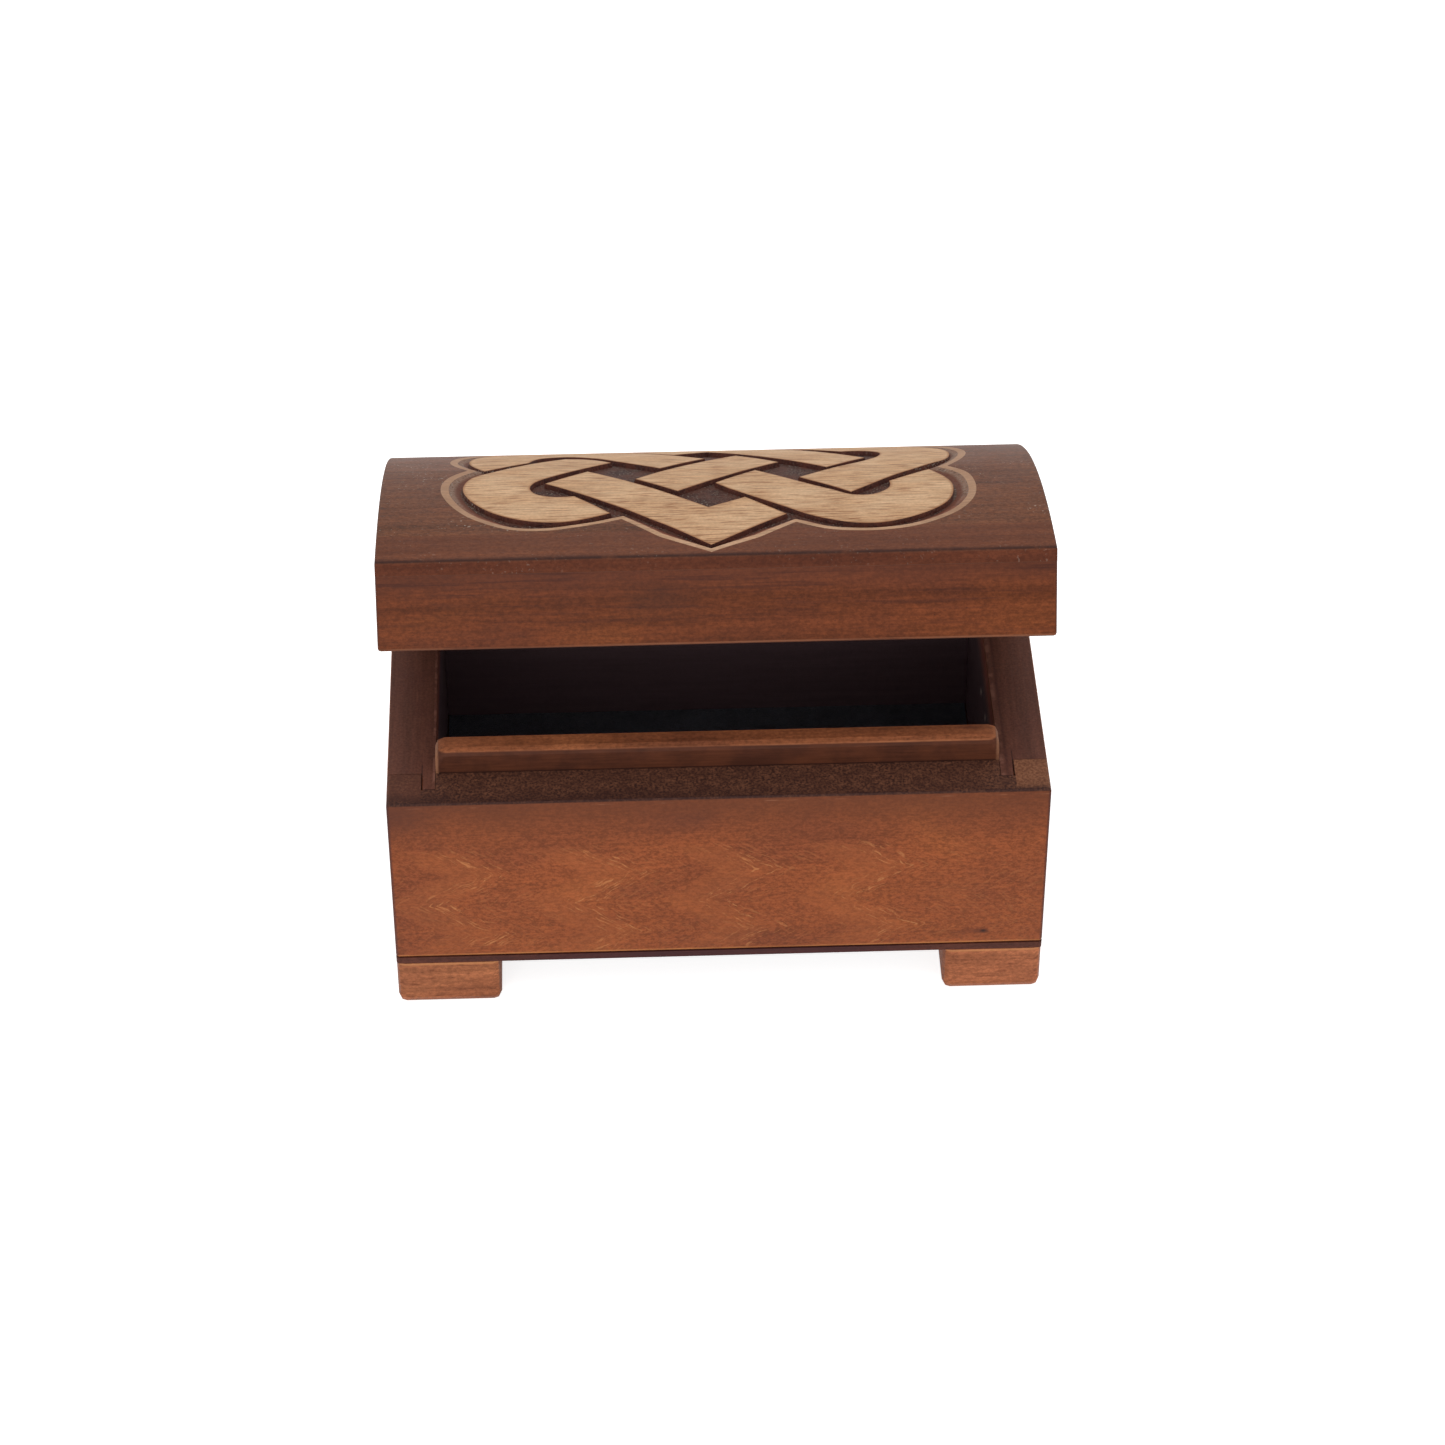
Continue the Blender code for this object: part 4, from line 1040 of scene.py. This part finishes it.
def foot_marks(mix, axes, own, colour):
    """A foot's dark dashes along the grain and its pale upper edge, worn and with a painted highlight."""
    dashes = mix.noise(mix.turned(own, scale=(0.16, 1, 1)), 0.8 * MM, rough=0.6)
    colour = mix.lay(colour, mix.grade(dashes, 0.54, 0.68, 0.0, 0.5), (96, 50, 34))
    colour = mix.vary(colour, axes[0], -40 * MM, 40 * MM, 1.0, 1.16)
    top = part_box("front_left_foot")[1][2]
    # Wear on the upper edge, with a painted highlight where the edge catches the light.
    worn = mix.near(axes[2], top - 0.3 * MM, 0.45 * MM)
    return mix.lay(colour, worn, (206, 142, 92), 0.6)


def bottom_marks(mix, axes, own, colour):
    """Purple-brown stain along the bottom's middle."""
    middle = mix.grade(mix.sum("ABSOLUTE", axes[0]), 20 * MM, 55 * MM, 0.7, 0.0)
    return mix.lay(colour, middle, (62, 34, 40))


def merged_copy(name):
    """A node's mesh with its loose triangles joined and its flat faces whole."""
    mesh = bmesh.new()
    mesh.from_mesh(frame["nodes"][name].data)
    bmesh.ops.remove_doubles(mesh, verts=mesh.verts, dist=MERGE)
    bmesh.ops.dissolve_limit(mesh, angle_limit=math.radians(0.3), verts=mesh.verts, edges=mesh.edges)
    return mesh


def dress(name, material, body, mesh=None):
    """Stands a smooth copy of a node in its place."""
    return piece_of(f"{name}_finished", mesh or merged_copy(name), (material,), body, (name,))


def felt_sheet():
    """The felt on the floor: an even thickness, laid a little unevenly."""
    low, high = (Vector(corner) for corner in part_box("floor_lining"))
    size = high - low
    mesh = bmesh.new()
    bmesh.ops.create_grid(mesh, x_segments=56, y_segments=32, size=0.5)
    bmesh.ops.scale(mesh, vec=(size.x, size.y, 1), verts=mesh.verts)
    bmesh.ops.translate(mesh, vec=((low.x + high.x) / 2, (low.y + high.y) / 2, low.z), verts=mesh.verts)
    for vert in mesh.verts:
        place = Vector((vert.co.x, vert.co.y, 0))
        vert.co.z += FELT_RISE * max(0.0, noise.noise(place / (11 * MM)))
    sweep(mesh, mesh.faces[:], (0, 0, size.z))
    bmesh.ops.recalc_face_normals(mesh, faces=mesh.faces)
    felted = piece_of(
        "laid_felt", mesh, (felt("dark_felt"),), "box_body", ("floor_lining",), sharp=50
    )


def slotted_screw(name, on_lid):
    """A hinge screw with a slot cut across its head, each turned its own way."""
    low, high = closed_box(name) if on_lid else [Vector(corner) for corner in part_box(name)]
    slot = bmesh.new()
    corners = bmesh.ops.create_cube(slot, size=1.0)["verts"]
    bmesh.ops.scale(slot, vec=(4 * MM, SLOT_WIDTH, 2 * SLOT_DEPTH), verts=corners)
    turn = Matrix.Rotation(low.x * 90, 4, "Z")
    head = low.z if on_lid else high.z
    place = Matrix.Translation(((low.x + high.x) / 2, (low.y + high.y) / 2, head))
    bmesh.ops.transform(slot, matrix=(OPENED if on_lid else Matrix()) @ place @ turn, verts=slot.verts)
    return carve(merged_copy(name), slot)


def dress_wood(name, tones, slot, marks, finish=None, on_lid=False, **looks):
    """Stands a stained copy of a wooden node in its place; marks lays what is its own over the stain."""
    box = closed_box(name) if on_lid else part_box(name)
    stain = stained_wood(finish or name, box, tones, on_lid=on_lid, extra=marks, **looks)
    dress(name, stain, "lid" if on_lid else "box_body")


def plain_pieces():
    """Every piece but the carved board and its straps."""
    sides = (("front", "x", 0.0), ("back", "x", 0.7), ("left", "y", 1.3), ("right", "y", 1.9))
    for side, grain, seed in sides:
        name = f"{side}_board"
        dress_wood(
            name, ((143, 76, 44), (118, 62, 40), (158, 88, 48)), "wall_wood", body_marks(side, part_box(name)),
            grain=grain, seed=seed, streaky=0.1, rough=0.25,
        )
        name = f"lid_{side}_board"
        dress_wood(
            name, ((109, 56, 31), (90, 46, 30), (122, 66, 34)), "lid_frame_wood",
            lid_marks(side, closed_box(name)), on_lid=True, grain=grain, seed=seed + 0.4, streaky=0.42,
            worn=0.12,
        )
    dress_wood(
        "locating_strip", ((150, 88, 56), (104, 58, 42), (184, 112, 70)), "strip_wood", strip_marks,
        "strip", seed=2.2,
    )
    dress_wood(
        "bottom_panel", ((86, 48, 38), (60, 34, 34), (104, 60, 44)), "bottom_wood", bottom_marks,
        "bottom", seed=2.9,
    )
    for name in [f"{depth}_{side}_foot" for depth in ("front", "back") for side in ("left", "right")]:
        dress_wood(
            name, ((162, 98, 66), (136, 78, 52), (180, 114, 76)), "foot_wood", foot_marks,
            seed=len(name) * 0.21, streaky=0.4,
        )
    felt_sheet()
    brass = metal("brushed_brass", (202, 160, 84), (140, 104, 58), 0.28)
    steel = metal("plated_steel", (176, 172, 164), (120, 116, 110), 0.3)
    for name in [name for name in frame["nodes"] if "hinge" in name]:
        on_lid = "_lid_" in name
        body = "lid" if on_lid else "box_body"
        if name.endswith("leaf"):
            dress(name, brass, body)
        else:
            slotted = slotted_screw(name, on_lid) if name.endswith("screw") else None
            dress(name, steel, body, slotted)


noise.seed_set(WAVER_SEED)
camera()
studio()
carved_lid()
plain_pieces()
bpy.context.scene.view_settings.view_transform = "Standard"
